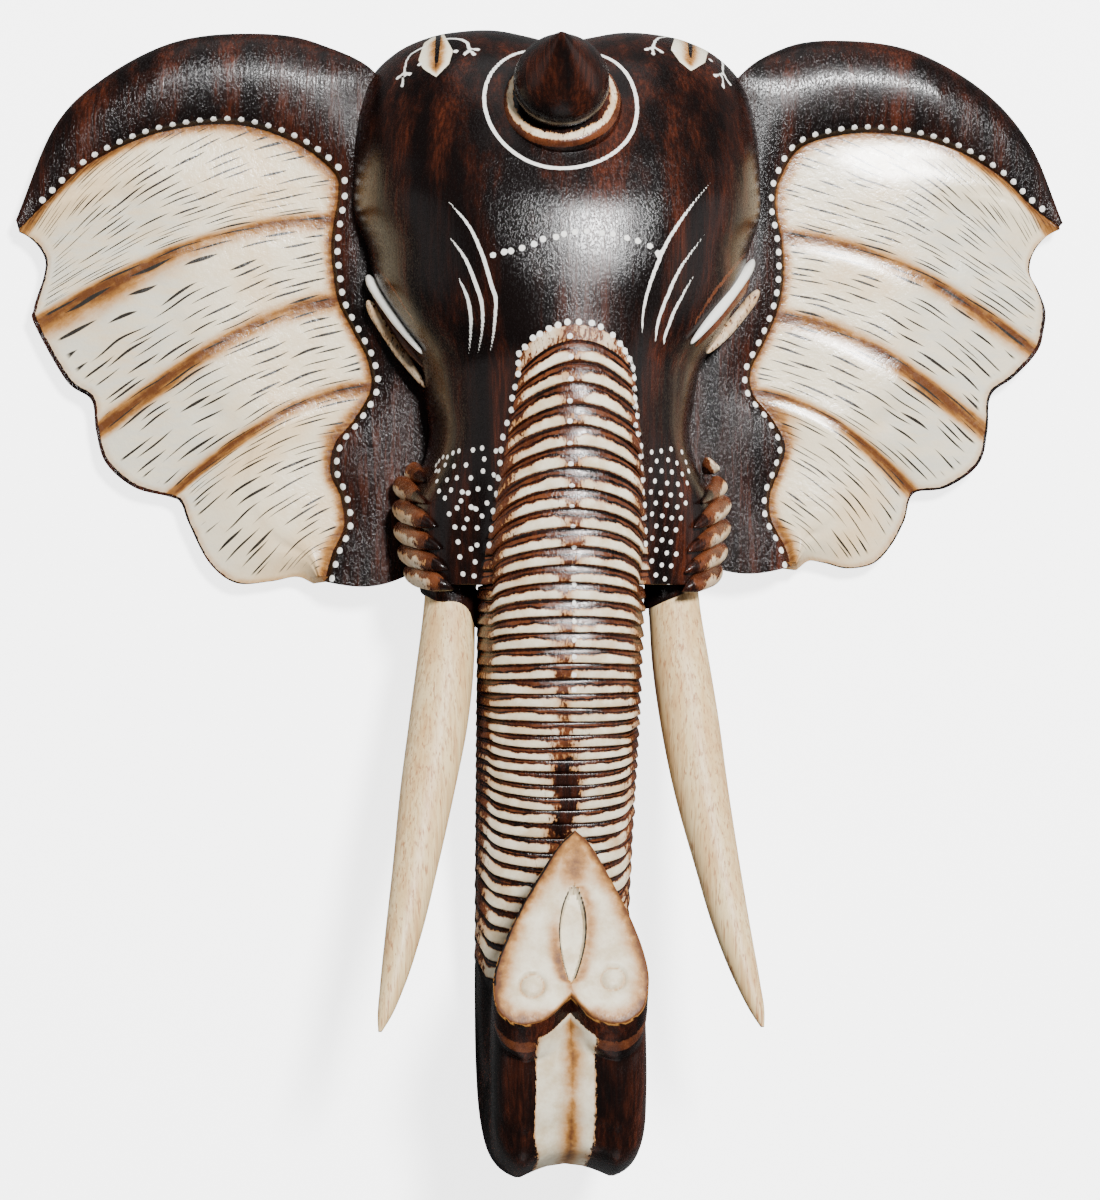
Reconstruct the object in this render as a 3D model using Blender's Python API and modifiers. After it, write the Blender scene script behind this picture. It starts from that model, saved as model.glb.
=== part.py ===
# An elephant mask carved from pale soft wood, lying on its back with its face up.
# Metres. X runs across the face, Y up to the crown, Z out of the face; the flat back is at z = 0.
import math

import bmesh
import bpy
import numpy as np
from mathutils import Vector

# driving sizes
MASK_HEIGHT = 0.500
EAR_BACK = 0.005
EAR_REBATE = 0.026
FIT_GAP = 0.0003
TUSK_SCALE = 1.0
KNOB_HEIGHT = 0.048
KNOB_RADIUS = 0.0205
RIB_COUNT = 40
RIB_RELIEF = 0.0018
FOLD_RADIUS = 0.0040
LID_RADIUS = 0.0030
HOLLOW_DEPTH = 0.050

# carved forms are written in five-hundredths of the mask's height
UNIT = MASK_HEIGHT / 500.0

# the head: each row is one section, nine points from the middle of the face round to the back edge
FAN_CENTRE = 185.0
FAN_STEP = 1.45
HEAD_SHIFT = 3.4
CROWN_X = [0, 14, 28, 42, 57, 72, 84, 91, 90.5]
CROWN_ROWS = [
    (0, [60, 61.5, 62.5, 62, 60, 53, 40, 20, 0]),
    (24, [65, 68, 70.5, 70, 67, 59.5, 46, 22, 0]),
    (38, [70.5, 73, 75, 74.5, 70.5, 62, 48, 23, 0]),
    (54, [76.5, 77.5, 78, 76.5, 72.5, 63.5, 49, 23, 0]),
    (67, [78, 78.5, 78.5, 77, 72.5, 63.5, 49, 23, 0]),
    (80, [81.5, 81.5, 81, 79, 74, 65, 49, 23, 0]),
]
FACE_ROWS = [
    (185, CROWN_X, [87, 86.5, 85.5, 83, 77, 66.5, 49.5, 23, 0]),
    (170, [0, 14, 28, 42, 57, 72, 84.5, 91, 90], [92, 91.5, 90, 87, 80.5, 69, 50, 24, 0]),
    (150, [0, 13, 26, 39, 52, 66, 77.5, 84.5, 83], [95, 94.5, 93, 90, 83.5, 72.5, 54, 28, 0]),
    (135, [0, 12.5, 25, 37, 49, 62, 74, 81, 79], [96, 95.5, 94, 90.5, 84.5, 75, 59, 34, 0]),
    (118, [0, 12, 24, 34, 45, 57, 67, 73, 71.5], [96.5, 95.5, 93, 89, 83, 74, 60, 34, 0]),
    (100, [0, 12, 22.5, 30, 39, 48, 56.5, 62.5, 61.5], [97, 95.5, 92, 87, 80, 71, 58.5, 34, 0]),
    (85, [0, 13, 24.5, 31.5, 38.5, 46, 53.5, 59.5, 58.5], [97, 95, 90.5, 85, 78.5, 70.5, 58.5, 34, 0]),
    (70, [0, 14, 26, 33, 39.5, 46, 52.5, 57.5, 56.5], [96.5, 94.5, 89, 83, 77, 70, 58, 34, 0]),
    (55, [0, 15, 27, 34, 42, 49, 56, 61, 60], [95.5, 93.5, 88, 81.5, 75.5, 69.5, 58, 35, 0]),
    (40, [0, 16, 28, 35, 45, 53.5, 62, 68.5, 67], [94, 92, 86, 79, 74, 68.5, 58.5, 36, 0]),
    (22, [0, 17, 29, 35.5, 45.5, 54.5, 62, 67.5, 66], [92, 90, 83.5, 76.5, 71.5, 67, 57.5, 35, 0]),
    (4, [0, 18, 29.3, 33.5, 45, 54, 61, 65, 63], [90, 87.8, 80.5, 73.5, 69, 65, 56, 34, 0]),
]

# the trunk: distance down the trunk, front line y z, back line y z, half width, back channel depth
TRUNK_ROWS = [
    (-4, 4, 90, 4, 24, 36.0, 0.0),
    (25, -25, 87, -25, 19, 35.5, 0.0),
    (55, -55, 80, -58, 13, 35.2, 0.0),
    (85, -85, 70, -92, 8, 34.6, 1.0),
    (115, -115, 60, -125, 3.5, 34.0, 3.0),
    (145, -145, 52, -160, 0.6, 33.6, 5.0),
    (170, -170, 48, -192, 0.6, 33.5, 6.5),
    (186, -186, 48.5, -222, 8, 33.4, 7.5),
    (197, -195, 53, -242.5, 24, 33.2, 7.5),
    (205, -199.5, 60, -251.5, 50, 33.0, 7.5),
    (213, -198, 68, -252, 80, 33.0, 7.5),
    (223, -189, 72.5, -244.5, 103, 33.2, 7.5),
    (240, -172, 74.5, -228, 113.5, 33.2, 7.5),
    (262, -150, 76.5, -208, 117.5, 32.6, 7.0),
    (285, -127, 80.5, -193, 118.5, 32.0, 6.5),
    (302, -110, 84, -186, 122, 32.8, 8.0),
    (312, -101, 86.5, -179.5, 126, 33.2, 10.0),
]
TRUNK_ANGLES = [0, 24, 50, 66, 84, 104, 126, 152, 180]
TRUNK_POWER = 2.0 / 2.6
TRUNK_BACK_POWER = 2.0 / 3.4
TRUNK_SHIFT = [(-110, 5.0), (-50, 3.0), (-15, 1.6), (60, 0.8), (120, 0.3), (312, 0.0)]
RIB_LINES = [(0, -107.0), (10, -19.4), (20, 49.5), (29, 100.3), (39, 168.8)]
RIB_ARCH = [(-315.5, 0.0), (-185, 0.0), (-150, 8.0), (-125, 17.0), (-107, 19.0), (-83, 17.0), (-61, 15.0),
            (-40, 13.0), (-10, 7.0), (20, 2.2), (42, 0.0), (63, -3.5), (90, -7.0), (150, -7.0), (186, 0.0),
            (312, 0.0)]
PANEL_HALF = [(-125, 15.0), (-107, 20.0), (-83, 26.0), (-50, 31.0), (-20, 35.0), (-4, 37.0)]
CHEEK_BASE = -4.0

# the ears: seat line, panel line and scalloped edge from the lower corner round to the tip
LEFT_SEAT = [(-53, 14), (-53, 23), (-53, 33), (-51, 44), (-47.5, 55), (-45, 66), (-44.5, 77), (-45.5, 89),
             (-49, 101), (-56, 113), (-63.5, 125), (-69, 137), (-73, 150), (-75.5, 164), (-76, 180), (-76, 203),
             (-77, 229), (-104, 245.3), (-134, 248.8), (-167, 244.3), (-197.4, 228.2), (-219, 206.5),
             (-236.0, 165)]
LEFT_PANEL = [(-100.5, 5.5), (-97, 18), (-91.9, 30), (-93.5, 43), (-97.9, 54), (-96, 66.5), (-87, 78), (-80, 91),
              (-81.5, 104), (-88, 117), (-94.5, 130), (-96.5, 142), (-97.5, 153), (-96.3, 165), (-94.3, 177),
              (-96.5, 187), (-115, 200.3), (-140, 207.2), (-166, 204.8), (-187, 198), (-207, 187), (-222, 173),
              (-233.2, 161.5)]
LEFT_EDGE = [(-104.5, 4.6), (-112, 7.6), (-124, 5.5), (-139.2, 4.9), (-151, 14), (-159.8, 31), (-163.5, 40.5),
             (-168.5, 43.2), (-184, 47.3), (-196.5, 58), (-200.8, 72), (-203, 86), (-214, 94.6), (-227.8, 119),
             (-228.2, 125.5), (-226.4, 132), (-224, 139), (-222.9, 146), (-224.4, 151), (-226.8, 154.6),
             (-229.4, 157.2), (-232, 159), (-234.6, 160.2)]
RIGHT_SEAT = [(59, 18), (59, 27), (59, 36), (57, 47), (54, 57), (51.5, 67), (51, 78), (52, 90), (56, 102),
              (62.5, 114), (69.5, 126), (75, 138), (79, 151), (82, 165), (83, 180), (83, 203), (84, 229.5),
              (108, 246.6), (137, 250), (167.5, 245.3), (199, 228.2), (221, 204), (236.0, 169)]
RIGHT_PANEL = [(109.5, 12.5), (107, 21), (100.5, 34), (100.3, 45), (104.5, 56), (107, 67), (101, 79), (92.5, 89.5),
               (91.3, 100), (97, 112), (102.5, 124.5), (105.5, 136), (106.3, 148), (105.2, 160), (102.6, 174),
               (104.5, 186), (115, 201), (139, 207.2), (164, 206), (186, 199.6), (206, 188.5), (221, 175.5),
               (233, 167)]
RIGHT_EDGE = [(113, 10.8), (119, 15), (127, 14), (137.3, 11.6), (148.5, 13.9), (156.5, 22), (162.5, 33),
              (167, 45.5), (182, 48.3), (196.5, 58.5), (201, 73), (202.5, 90), (213, 98.5), (224, 110), (227, 120),
              (227.8, 129), (224.5, 138), (220.8, 145), (220.8, 151), (223, 156.5), (226.3, 160.8), (230, 163.8),
              (234.6, 166)]
EAR_VEINS = [7, 10, 13]
EAR_RIM_Z = 24.6
EAR_PANEL_Z = 18.5
EAR_EDGE_Z = 11.5

# the tusks: y, x of the left one, x of the right one, z, radius
TUSK_ROWS = [
    (22, -43.0, 50.4, 39.0, 10.8),
    (4, -45.8, 51.8, 44.0, 11.2),
    (-10, -47.2, 52.6, 48.5, 11.5),
    (-28, -49.0, 53.8, 55.0, 12.4),
    (-55, -52.8, 56.5, 64.5, 12.7),
    (-85, -58.5, 60.0, 76.0, 11.6),
    (-115, -64.2, 65.0, 87.5, 9.7),
    (-145, -70.5, 70.6, 99.0, 7.6),
    (-165, -75.4, 75.6, 106.0, 5.2),
    (-178, -79.2, 79.4, 110.5, 2.6),
    (-183, -80.8, 80.8, 112.0, 0.8),
]
HOLLOW_ROWS = [(221, 20, 0.25), (217, 36, 0.52), (208, 48, 0.76), (194, 56, 0.93), (176, 59, 1.0), (156, 55, 1.0),
               (134, 44, 0.97), (112, 33, 0.92), (90, 26, 0.86), (68, 24, 0.8), (48, 22, 0.68), (36, 17, 0.5),
               (31, 10, 0.25)]
KNOB_PROFILE = [(0.0, 48.0), (1.6, 46.6), (4.6, 42.6), (8.2, 37.6), (12.6, 32.0), (17.0, 26.0), (20.0, 19.5),
                (20.5, 13.5), (19.2, 8.8), (17.6, 6.4), (21.0, 5.6), (24.2, 4.2), (25.6, 1.6), (26.2, -2.5),
                (26.2, -14.0), (0.0, -14.0)]


# shapes from tables
def hermite(knots, values, where):
    """Smooth curve through values at knots: cubic pieces whose slopes come from the neighbours."""
    knots = np.asarray(knots, float)
    values = np.asarray(values, float)
    where = np.clip(np.asarray(where, float), knots[0], knots[-1])
    slopes = np.gradient(values, knots, axis=0)
    low = np.clip(np.searchsorted(knots, where, side="right") - 1, 0, len(knots) - 2)
    span = knots[low + 1] - knots[low]
    part = (where - knots[low]) / span
    if values.ndim > 1:
        part = part[..., None]
        span = span[..., None]
    blend = part * part * (3 - 2 * part)
    lean_in = part * (1 - part) ** 2 * span
    lean_out = -part * part * (1 - part) * span
    return (values[low] * (1 - blend) + values[low + 1] * blend
            + slopes[low] * lean_in + slopes[low + 1] * lean_out)


def table(pairs, where):
    rows = np.asarray(pairs, float)
    return hermite(rows[:, 0], rows[:, 1], where)


def head_point(down, column):
    """Point of the head: down runs from the crown's back edge to the cheeks' base, column 0 to 8."""
    knots = [-FAN_CENTRE - (90 - angle) * FAN_STEP for angle, radii in CROWN_ROWS]
    knots += [-height for height, across, out in FACE_ROWS]
    xs = [CROWN_X for angle, radii in CROWN_ROWS] + [across for height, across, out in FACE_ROWS]
    rs = [radii for angle, radii in CROWN_ROWS] + [out for height, across, out in FACE_ROWS]
    section = np.stack([np.asarray(xs, float), np.asarray(rs, float)], axis=2)
    mirrored = np.concatenate([section[:, 1:2] * [-1, 1], section], axis=1)
    at_row = hermite(knots, mirrored, [down])[0]
    across, out = hermite(np.arange(-1, 9), at_row, [column])[0]
    if down < -FAN_CENTRE:
        angle = math.radians(90 - (-FAN_CENTRE - down) / FAN_STEP)
        return np.array([across, FAN_CENTRE + out * math.cos(angle), out * math.sin(angle)])
    return np.array([across, -down, out])


def trunk_point(down, column):
    """Point of the trunk: rounded section between its front line and its back line."""
    rows = np.asarray(TRUNK_ROWS, float)
    front_y, front_z, back_y, back_z, half, channel = hermite(rows[:, 0], rows[:, 1:], [down])[0]
    angle = math.radians(float(hermite(np.arange(9), TRUNK_ANGLES, [column])[0]))
    power = TRUNK_POWER if angle < math.pi / 2 else TRUNK_BACK_POWER
    side = max(math.sin(angle), 0.0) ** power
    along = math.copysign(abs(math.cos(angle)) ** power, math.cos(angle))
    heart = min(max((down - 262) / 50, 0.0), 1.0)
    side *= 1 - heart * 0.55 * max(along, 0.0) ** 1.2
    middle = np.array([(front_y + back_y) / 2, (front_z + back_z) / 2])
    reach = np.array([(front_y - back_y) / 2, (front_z - back_z) / 2])
    y, z = middle + reach * along
    inward = reach / np.linalg.norm(reach)
    groove = channel * max(0.0, 1 - (half * side / 20.0) ** 2) if along < 0 else 0.0
    y, z = np.array([y, z]) + inward * groove
    return np.array([half * side, y, max(z, 0.0)])


def rib_weight(down, column, point):
    """How much of the rib relief a place carries: all of it on the trunk's front, none elsewhere."""
    if down < CHEEK_BASE:
        edge = float(table(PANEL_HALF, [down])[0])
        return min(max((edge * 1.08 - abs(point[0])) / (edge * 0.16), 0.0), 1.0)
    return min(max((4.6 - column) / 1.2, 0.0), 1.0)


def carved_point(down, column, relief, on_trunk):
    """Point of head or trunk at a row and a signed column, with the row's arch and rib relief."""
    size = abs(column)
    arch = float(table(RIB_ARCH, [down])[0]) * min(size / 2.6, 1.0) ** 2
    place = down + arch
    if on_trunk and (place > CHEEK_BASE + 1e-6 or size > 3):
        point = trunk_point(max(place, CHEEK_BASE), size)
        centre = trunk_point(max(place, CHEEK_BASE), 0) * 0.5 + trunk_point(max(place, CHEEK_BASE), 8) * 0.5
    else:
        point = head_point(min(place, CHEEK_BASE), size)
        centre = np.array([0.0, point[1], 40.0])
    if relief:
        away = point - centre
        point = point + away / np.linalg.norm(away) * relief * rib_weight(place, size, point)
    point[0] = math.copysign(point[0], column) if column else 0.0
    drift = float(table(TRUNK_SHIFT, [max(place, -110)])[0])
    if not on_trunk:
        blend = min(max((size - 3) / 2, 0.0), 1.0)
        if place < -120:
            blend = 1.0
        elif place < -95:
            blend = blend + (1 - blend) * (-95 - place) / 25
        drift = drift * (1 - blend) + HEAD_SHIFT * blend
    point[0] += drift
    return point


# building meshes
def finish_object(name, mesh_data, colour, group):
    mesh_data.normal_update()
    mesh = bpy.data.meshes.new(name)
    mesh_data.to_mesh(mesh)
    mesh_data.free()
    item = bpy.data.objects.new(name, mesh)
    group.objects.link(item)
    if colour:
        material = bpy.data.materials.new(name + "_wood")
        material.use_nodes = True
        shader = material.node_tree.nodes["Principled BSDF"]
        shader.inputs["Base Color"].default_value = (*colour, 1)
        shader.inputs["Roughness"].default_value = 0.35
        mesh.materials.append(material)
    return item


def close_up(mesh_data):
    bmesh.ops.remove_doubles(mesh_data, verts=mesh_data.verts, dist=2e-6)
    bmesh.ops.dissolve_degenerate(mesh_data, dist=1e-6, edges=mesh_data.edges)
    bmesh.ops.recalc_face_normals(mesh_data, faces=mesh_data.faces)


def add_face(mesh_data, corners):
    seen = []
    for corner in corners:
        if all((corner.co - other.co).length > 1e-6 for other in seen):
            seen.append(corner)
    if len(seen) > 2:
        mesh_data.faces.new(seen)


def rings_to_body(rings, name, colour, group):
    """Closed body from a run of closed rings of points, with both ends capped."""
    body = bmesh.new()
    made = [[body.verts.new(Vector(point) * UNIT) for point in ring] for ring in rings]
    for upper, lower in zip(made, made[1:]):
        for k in range(len(upper)):
            nxt = (k + 1) % len(upper)
            add_face(body, [upper[k], upper[nxt], lower[nxt], lower[k]])
    body.faces.new(made[0])
    body.faces.new(list(reversed(made[-1])))
    close_up(body)
    return finish_object(name, body, colour, group)


def cutter_style(item):
    item.hide_render = True
    item.display_type = "WIRE"


def combine(target, tools, operation):
    for tool in tools:
        change = target.modifiers.new(tool.name, "BOOLEAN")
        change.operation = operation
        change.solver = "EXACT"
        change.object = tool
        cutter_style(tool)


# the head body
def head_columns():
    half = [0, 0.5, 1, 1.5, 2, 2.5, 3, 3.6, 4.3, 5, 5.7, 6.4, 7.2, 8]
    return [-v for v in reversed(half[1:])] + half


def rib_rows():
    """Rows from the top of the ribbed panel down: each rib has a groove line and a lip just above the next."""
    grooves = table(RIB_LINES, np.arange(RIB_COUNT))
    rows = []
    for k, groove in enumerate(grooves):
        rows.append((float(groove), -0.5 * RIB_RELIEF / UNIT))
        if k + 1 < len(grooves):
            rows.append((float(groove + (grooves[k + 1] - groove) * 0.8), 0.5 * RIB_RELIEF / UNIT))
    return rows


def build_head(group):
    columns = head_columns()
    crown = [-FAN_CENTRE - (90 - angle) * FAN_STEP for angle in (0, 12, 24, 35, 46, 57, 68, 79)]
    brow = [-height for height in (185, 176, 166, 155, 144, 134, 124, 115)]
    joint = -11.05
    ribs = rib_rows()
    upper = [(down, 0.0) for down in crown + brow] + [row for row in ribs if row[0] < joint - 1]
    lower = [row for row in ribs if row[0] > joint + 1]
    lower += [(down, 0.0) for down in (180, 190, 199, 207, 215, 224, 236, 252, 270, 287, 300, 307, 312)]
    body = bmesh.new()

    def row_of(down, relief, on_trunk):
        points = [carved_point(down, column, relief, on_trunk) for column in columns]
        return [body.verts.new(Vector(point) * UNIT) for point in points]

    head_rows = [row_of(down, relief, False) for down, relief in upper + [(joint, 0.0)]]
    trunk_rows = [row_of(down, relief, True) for down, relief in [(joint, 0.0)] + lower]
    for rows in (head_rows, trunk_rows, [head_rows[-1], trunk_rows[0]]):
        for first, second in zip(rows, rows[1:]):
            for k in range(len(columns) - 1):
                add_face(body, [first[k], first[k + 1], second[k + 1], second[k]])
            add_face(body, [first[-1], first[0], second[0], second[-1]])
    body.faces.new(head_rows[0])
    body.faces.new(list(reversed(trunk_rows[-1][:-1])))
    close_up(body)
    return finish_object("head", body, (0.06, 0.03, 0.02), group)


def build_knob(group):
    """Turned onion-shaped knob whose axis leans up with the forehead."""
    mesh = bpy.data.meshes.new("knob")
    profile = [(r * KNOB_RADIUS / 0.0205 * UNIT, 0.0, h * KNOB_HEIGHT / 0.048 * UNIT) for r, h in KNOB_PROFILE]
    mesh.from_pydata(profile, [(k, k + 1) for k in range(len(profile) - 1)], [])
    item = bpy.data.objects.new("knob", mesh)
    group.objects.link(item)
    turn = item.modifiers.new("turn", "SCREW")
    turn.angle = math.tau
    turn.steps = 12
    turn.render_steps = 12
    turn.use_merge_vertices = True
    turn.merge_threshold = 0.00001
    turn.use_normal_calculate = True
    axis = Vector((-0.09, 0.5, 0.86)).normalized()
    item.rotation_euler = axis.to_track_quat("Z", "Y").to_euler()
    item.location = Vector((-0.4, 211.3, 73.0)) * UNIT
    return item


def tube(points, radii, name, group, sides=6):
    """Closed rod through points, tapered by radii."""
    rings = []
    path = [Vector(point) for point in points]
    for k, point in enumerate(path):
        ahead = (path[min(k + 1, len(path) - 1)] - path[max(k - 1, 0)]).normalized()
        side = ahead.cross(Vector((0, 0, 1))).normalized()
        up = side.cross(ahead)
        turn = [math.tau * n / sides for n in range(sides)]
        rings.append([point + (side * math.cos(a) + up * math.sin(a)) * radii[k] for a in turn])
    return rings_to_body(rings, name, None, group)


def surface_line(down_from, column_from, down_to, column_to, count, lift):
    """Points on the head's surface between two places, moved outward by lift."""
    points = []
    for k in range(count):
        part = k / (count - 1)
        down = down_from + (down_to - down_from) * part
        column = column_from + (column_to - column_from) * part
        point = head_point(down, abs(column))
        away = point - np.array([0.0, point[1], 34.0])
        point = point + away / np.linalg.norm(away) * lift
        point[0] = math.copysign(point[0], column) + HEAD_SHIFT
        points.append(tuple(point))
    return points


def build_features(group):
    """Eyelid rolls, eyes and the folds of skin on the cheeks."""
    made = []
    lid = LID_RADIUS / UNIT
    fold = FOLD_RADIUS / UNIT
    for side, word in ((-1, "left"), (1, "right")):
        upper = surface_line(-141, side * 6.15, -99, side * 5.6, 7, 0.2)
        lower = surface_line(-133, side * 6.95, -88, side * 6.5, 7, 0.2)
        eye = surface_line(-134, side * 6.55, -96, side * 6.1, 5, -2.4)
        slim = [0.45, 0.9, 1, 1, 1, 0.8, 0.4]
        made.append(tube(upper, [lid * s for s in slim], word + "_upper_lid", group))
        made.append(tube(lower, [lid * s for s in slim], word + "_lower_lid", group))
        made.append(tube(eye, [lid * s for s in (0.6, 1.5, 1.9, 1.5, 0.6)], word + "_eye", group, 8))
        for k in range(6):
            start = -53.5 + 9.2 * k
            drop = 8.0 if side < 0 else 10.0
            line = surface_line(start, side * 6.7, start + drop - 0.6 * k, side * 4.5, 4, -1.0)
            made.append(tube(line, [fold * s for s in (0.8, 1, 0.95, 0.6)], f"{word}_fold_{k}", group))
    return made


# the ears
def ear_ring(seat, panel, edge, t, side):
    """Section across an ear at t: seat, rim crest, panel lip, panel, scalloped edge, back."""
    steps = np.arange(len(seat))
    start = hermite(steps, seat, [t])[0]
    lip = hermite(steps, panel, [t])[0]
    end = hermite(steps, edge, [t])[0]
    hidden = 1.0 - min(max((t - 16.0) / 1.0, 0.0), 1.0)
    taper = min(max((22 - t) / 3.0, 0.15), 1.0)
    crest = start * 0.5 + lip * 0.5
    if t < 1:
        crest[1] -= 6.0 * (1 - t)
    vein = sum(math.exp(-((t - v) / 0.35) ** 2) for v in EAR_VEINS)
    rim = EAR_RIM_Z * taper + EAR_EDGE_Z * (1 - taper)
    flat = EAR_PANEL_Z * taper + EAR_EDGE_Z * (1 - taper)
    outer = (EAR_REBATE - FIT_GAP) / UNIT * hidden + (13.0 * taper + 10.0 * (1 - taper)) * (1 - hidden)
    reach = end - lip
    back = EAR_BACK / UNIT
    ring = [
        (*start, outer),
        (*crest, rim),
        (*(lip + (crest - lip) * 0.06), rim - 3.0 * taper),
        (*lip, flat - 0.5 * vein),
        (*(lip + reach * 0.34), flat + 0.8 * taper - 1.5 * vein),
        (*(lip + reach * 0.67), flat - 0.8 * taper - 1.5 * vein),
        (*end, EAR_EDGE_Z - 1.0 * vein),
        (*end, back),
        (*start, back),
    ]
    return ring


def build_ear(name, seat, panel, edge, side, group):
    count = 2 * (len(seat) - 1)
    rings = [ear_ring(seat, panel, edge, k / 2, side) for k in range(count + 1)]
    return rings_to_body(rings, name, (0.75, 0.66, 0.5), group)


def build_rebate(name, seat, side, group):
    """Room for an ear's tongue behind the head's side: the seat line moved in by the fit gap."""
    gap = FIT_GAP / UNIT
    line = hermite(np.arange(len(seat)), seat, np.arange(0, 17.01, 0.5))
    slope = np.gradient(line, axis=0)
    slope /= np.linalg.norm(slope, axis=1)[:, None]
    inward = np.stack([slope[:, 1] * -side, slope[:, 0] * side], axis=1)
    plan = [tuple(point + gap * away) for point, away in zip(line, inward)]
    foot = plan[0][0]
    plan = [(side * 150, -20.0), (foot, -20.0)] + plan + [(side * 150, 262)]
    body = bmesh.new()
    top = EAR_REBATE / UNIT
    lower = [body.verts.new(Vector((x, y, -5)) * UNIT) for x, y in plan]
    upper = [body.verts.new(Vector((x, y, top)) * UNIT) for x, y in plan]
    body.faces.new(lower)
    body.faces.new(list(reversed(upper)))
    for k in range(len(plan)):
        nxt = (k + 1) % len(plan)
        body.faces.new([lower[k], lower[nxt], upper[nxt], upper[k]])
    close_up(body)
    return finish_object(name, body, None, group)


# the tusks
def build_tusk(name, side, grow, sides, colour, group):
    """Round tapering tusk; its root is held in the cheek."""
    rows = np.asarray(TUSK_ROWS, float)
    where = [22, 4, -14, -34, -58, -84, -110, -134, -154, -170, -179, -183]
    if grow:
        where = [22.5, 4, -14]
    across = 1 if side < 0 else 2
    flipped = rows[::-1]
    rings = []
    for y in where:
        x, z, radius = [float(hermite(flipped[:, 0], flipped[:, c], [y])[0]) for c in (across, 3, 4)]
        radius = radius * TUSK_SCALE + grow
        turn = [math.tau * (n + 0.5) / sides for n in range(sides)]
        rings.append([(x + radius * math.cos(a), y + radius * 0.36 * math.sin(a), z + radius * math.sin(a) * 0.94)
                      for a in turn])
    return rings_to_body(rings, name, colour, group)


def build_hollow(name, group):
    """Scooped hollow in the back: half rounds whose width and depth follow the head."""
    rings = []
    for y, half, share in HOLLOW_ROWS:
        deep = HOLLOW_DEPTH / UNIT * share
        ring = [(HEAD_SHIFT - half, y, -5.0)]
        ring += [(HEAD_SHIFT - half * math.cos(a), y, deep * math.sin(a)) for a in np.linspace(0, math.pi, 11)]
        ring += [(HEAD_SHIFT + half, y, -5.0)]
        rings.append(ring)
    return rings_to_body(rings, name, None, group)


def main():
    for item in list(bpy.data.objects):
        bpy.data.objects.remove(item, do_unlink=True)
    parts = bpy.data.collections.new("elephant_mask")
    tools = bpy.data.collections.new("cutters")
    bpy.context.scene.collection.children.link(parts)
    bpy.context.scene.collection.children.link(tools)
    tools.hide_render = True

    head = build_head(parts)
    added = [build_knob(tools)] + build_features(tools)
    cuts = [
        build_rebate("left_rebate", LEFT_SEAT, -1, tools),
        build_rebate("right_rebate", RIGHT_SEAT, 1, tools),
        build_tusk("left_socket", -1, FIT_GAP / UNIT, 10, None, tools),
        build_tusk("right_socket", 1, FIT_GAP / UNIT, 10, None, tools),
        build_hollow("hollow", tools),
    ]
    combine(head, added, "UNION")
    combine(head, cuts, "DIFFERENCE")
    build_ear("left_ear", LEFT_SEAT, LEFT_PANEL, LEFT_EDGE, -1, parts)
    build_ear("right_ear", RIGHT_SEAT, RIGHT_PANEL, RIGHT_EDGE, 1, parts)
    build_tusk("left_tusk", -1, 0.0, 10, (0.72, 0.55, 0.36), parts)
    build_tusk("right_tusk", 1, 0.0, 10, (0.72, 0.55, 0.36), parts)


main()
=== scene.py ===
# %% [markdown]
# # A carved elephant mask
# This notebook dresses the plain solids of a wooden elephant mask. The real one is carved from soft
# pale wood, stained nearly black, lacquered, and then painted with white dots and dry cream strokes.
# The mask lies on its back on a pale floor, and the camera looks down at its face.

# %% Load the frame
import math

import bmesh
import bpy
import numpy as np
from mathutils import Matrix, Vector
from mathutils.geometry import delaunay_2d_cdt


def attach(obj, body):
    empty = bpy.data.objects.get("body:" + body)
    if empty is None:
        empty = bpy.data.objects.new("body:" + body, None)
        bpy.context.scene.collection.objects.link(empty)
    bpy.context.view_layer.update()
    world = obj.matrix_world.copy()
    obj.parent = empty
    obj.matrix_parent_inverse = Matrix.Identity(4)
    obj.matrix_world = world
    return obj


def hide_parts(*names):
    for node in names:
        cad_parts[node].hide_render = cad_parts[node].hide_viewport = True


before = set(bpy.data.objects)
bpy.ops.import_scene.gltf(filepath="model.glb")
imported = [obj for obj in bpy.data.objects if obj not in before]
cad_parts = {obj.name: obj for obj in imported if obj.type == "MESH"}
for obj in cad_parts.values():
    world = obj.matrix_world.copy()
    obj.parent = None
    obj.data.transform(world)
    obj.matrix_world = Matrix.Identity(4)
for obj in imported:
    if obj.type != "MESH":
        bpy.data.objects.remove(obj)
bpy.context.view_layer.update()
MM = 0.001
print("solids:", sorted(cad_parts))

# %% [markdown]
# ## Curves through a few chosen values
# A carver works from a few templates and blends between them by eye. Here each template is a row of a
# table, and a smooth curve through the rows gives every place between them.

# %% Smooth curves through table rows
def smooth(knots, values, where):
    """Value at where: a cubic through the two nearest rows that leans the way their neighbours do."""
    knots = np.asarray(knots, float)
    values = np.asarray(values, float)
    where = np.clip(np.asarray(where, float), knots[0], knots[-1])
    slopes = np.gradient(values, knots, axis=0)
    low = np.clip(np.searchsorted(knots, where, side="right") - 1, 0, len(knots) - 2)
    span = knots[low + 1] - knots[low]
    part = (where - knots[low]) / span
    extra = (1,) * (values.ndim - 1)
    part = part.reshape(part.shape + extra)
    span = span.reshape(span.shape + extra)
    blend = part * part * (3 - 2 * part)
    rise = part * (1 - part) ** 2 * span
    fall = -part * part * (1 - part) * span
    return values[low] * (1 - blend) + values[low + 1] * blend + slopes[low] * rise + slopes[low + 1] * fall


def pairs(rows, where):
    """Smooth curve through (place, value) pairs."""
    rows = np.asarray(rows, float)
    return smooth(rows[:, 0], rows[:, 1], where)


def ramp(value, low, high):
    """0 below low, 1 above high, and an S-shaped rise between them."""
    part = np.clip((value - low) / (high - low), 0, 1)
    return part * part * (3 - 2 * part)


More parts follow.
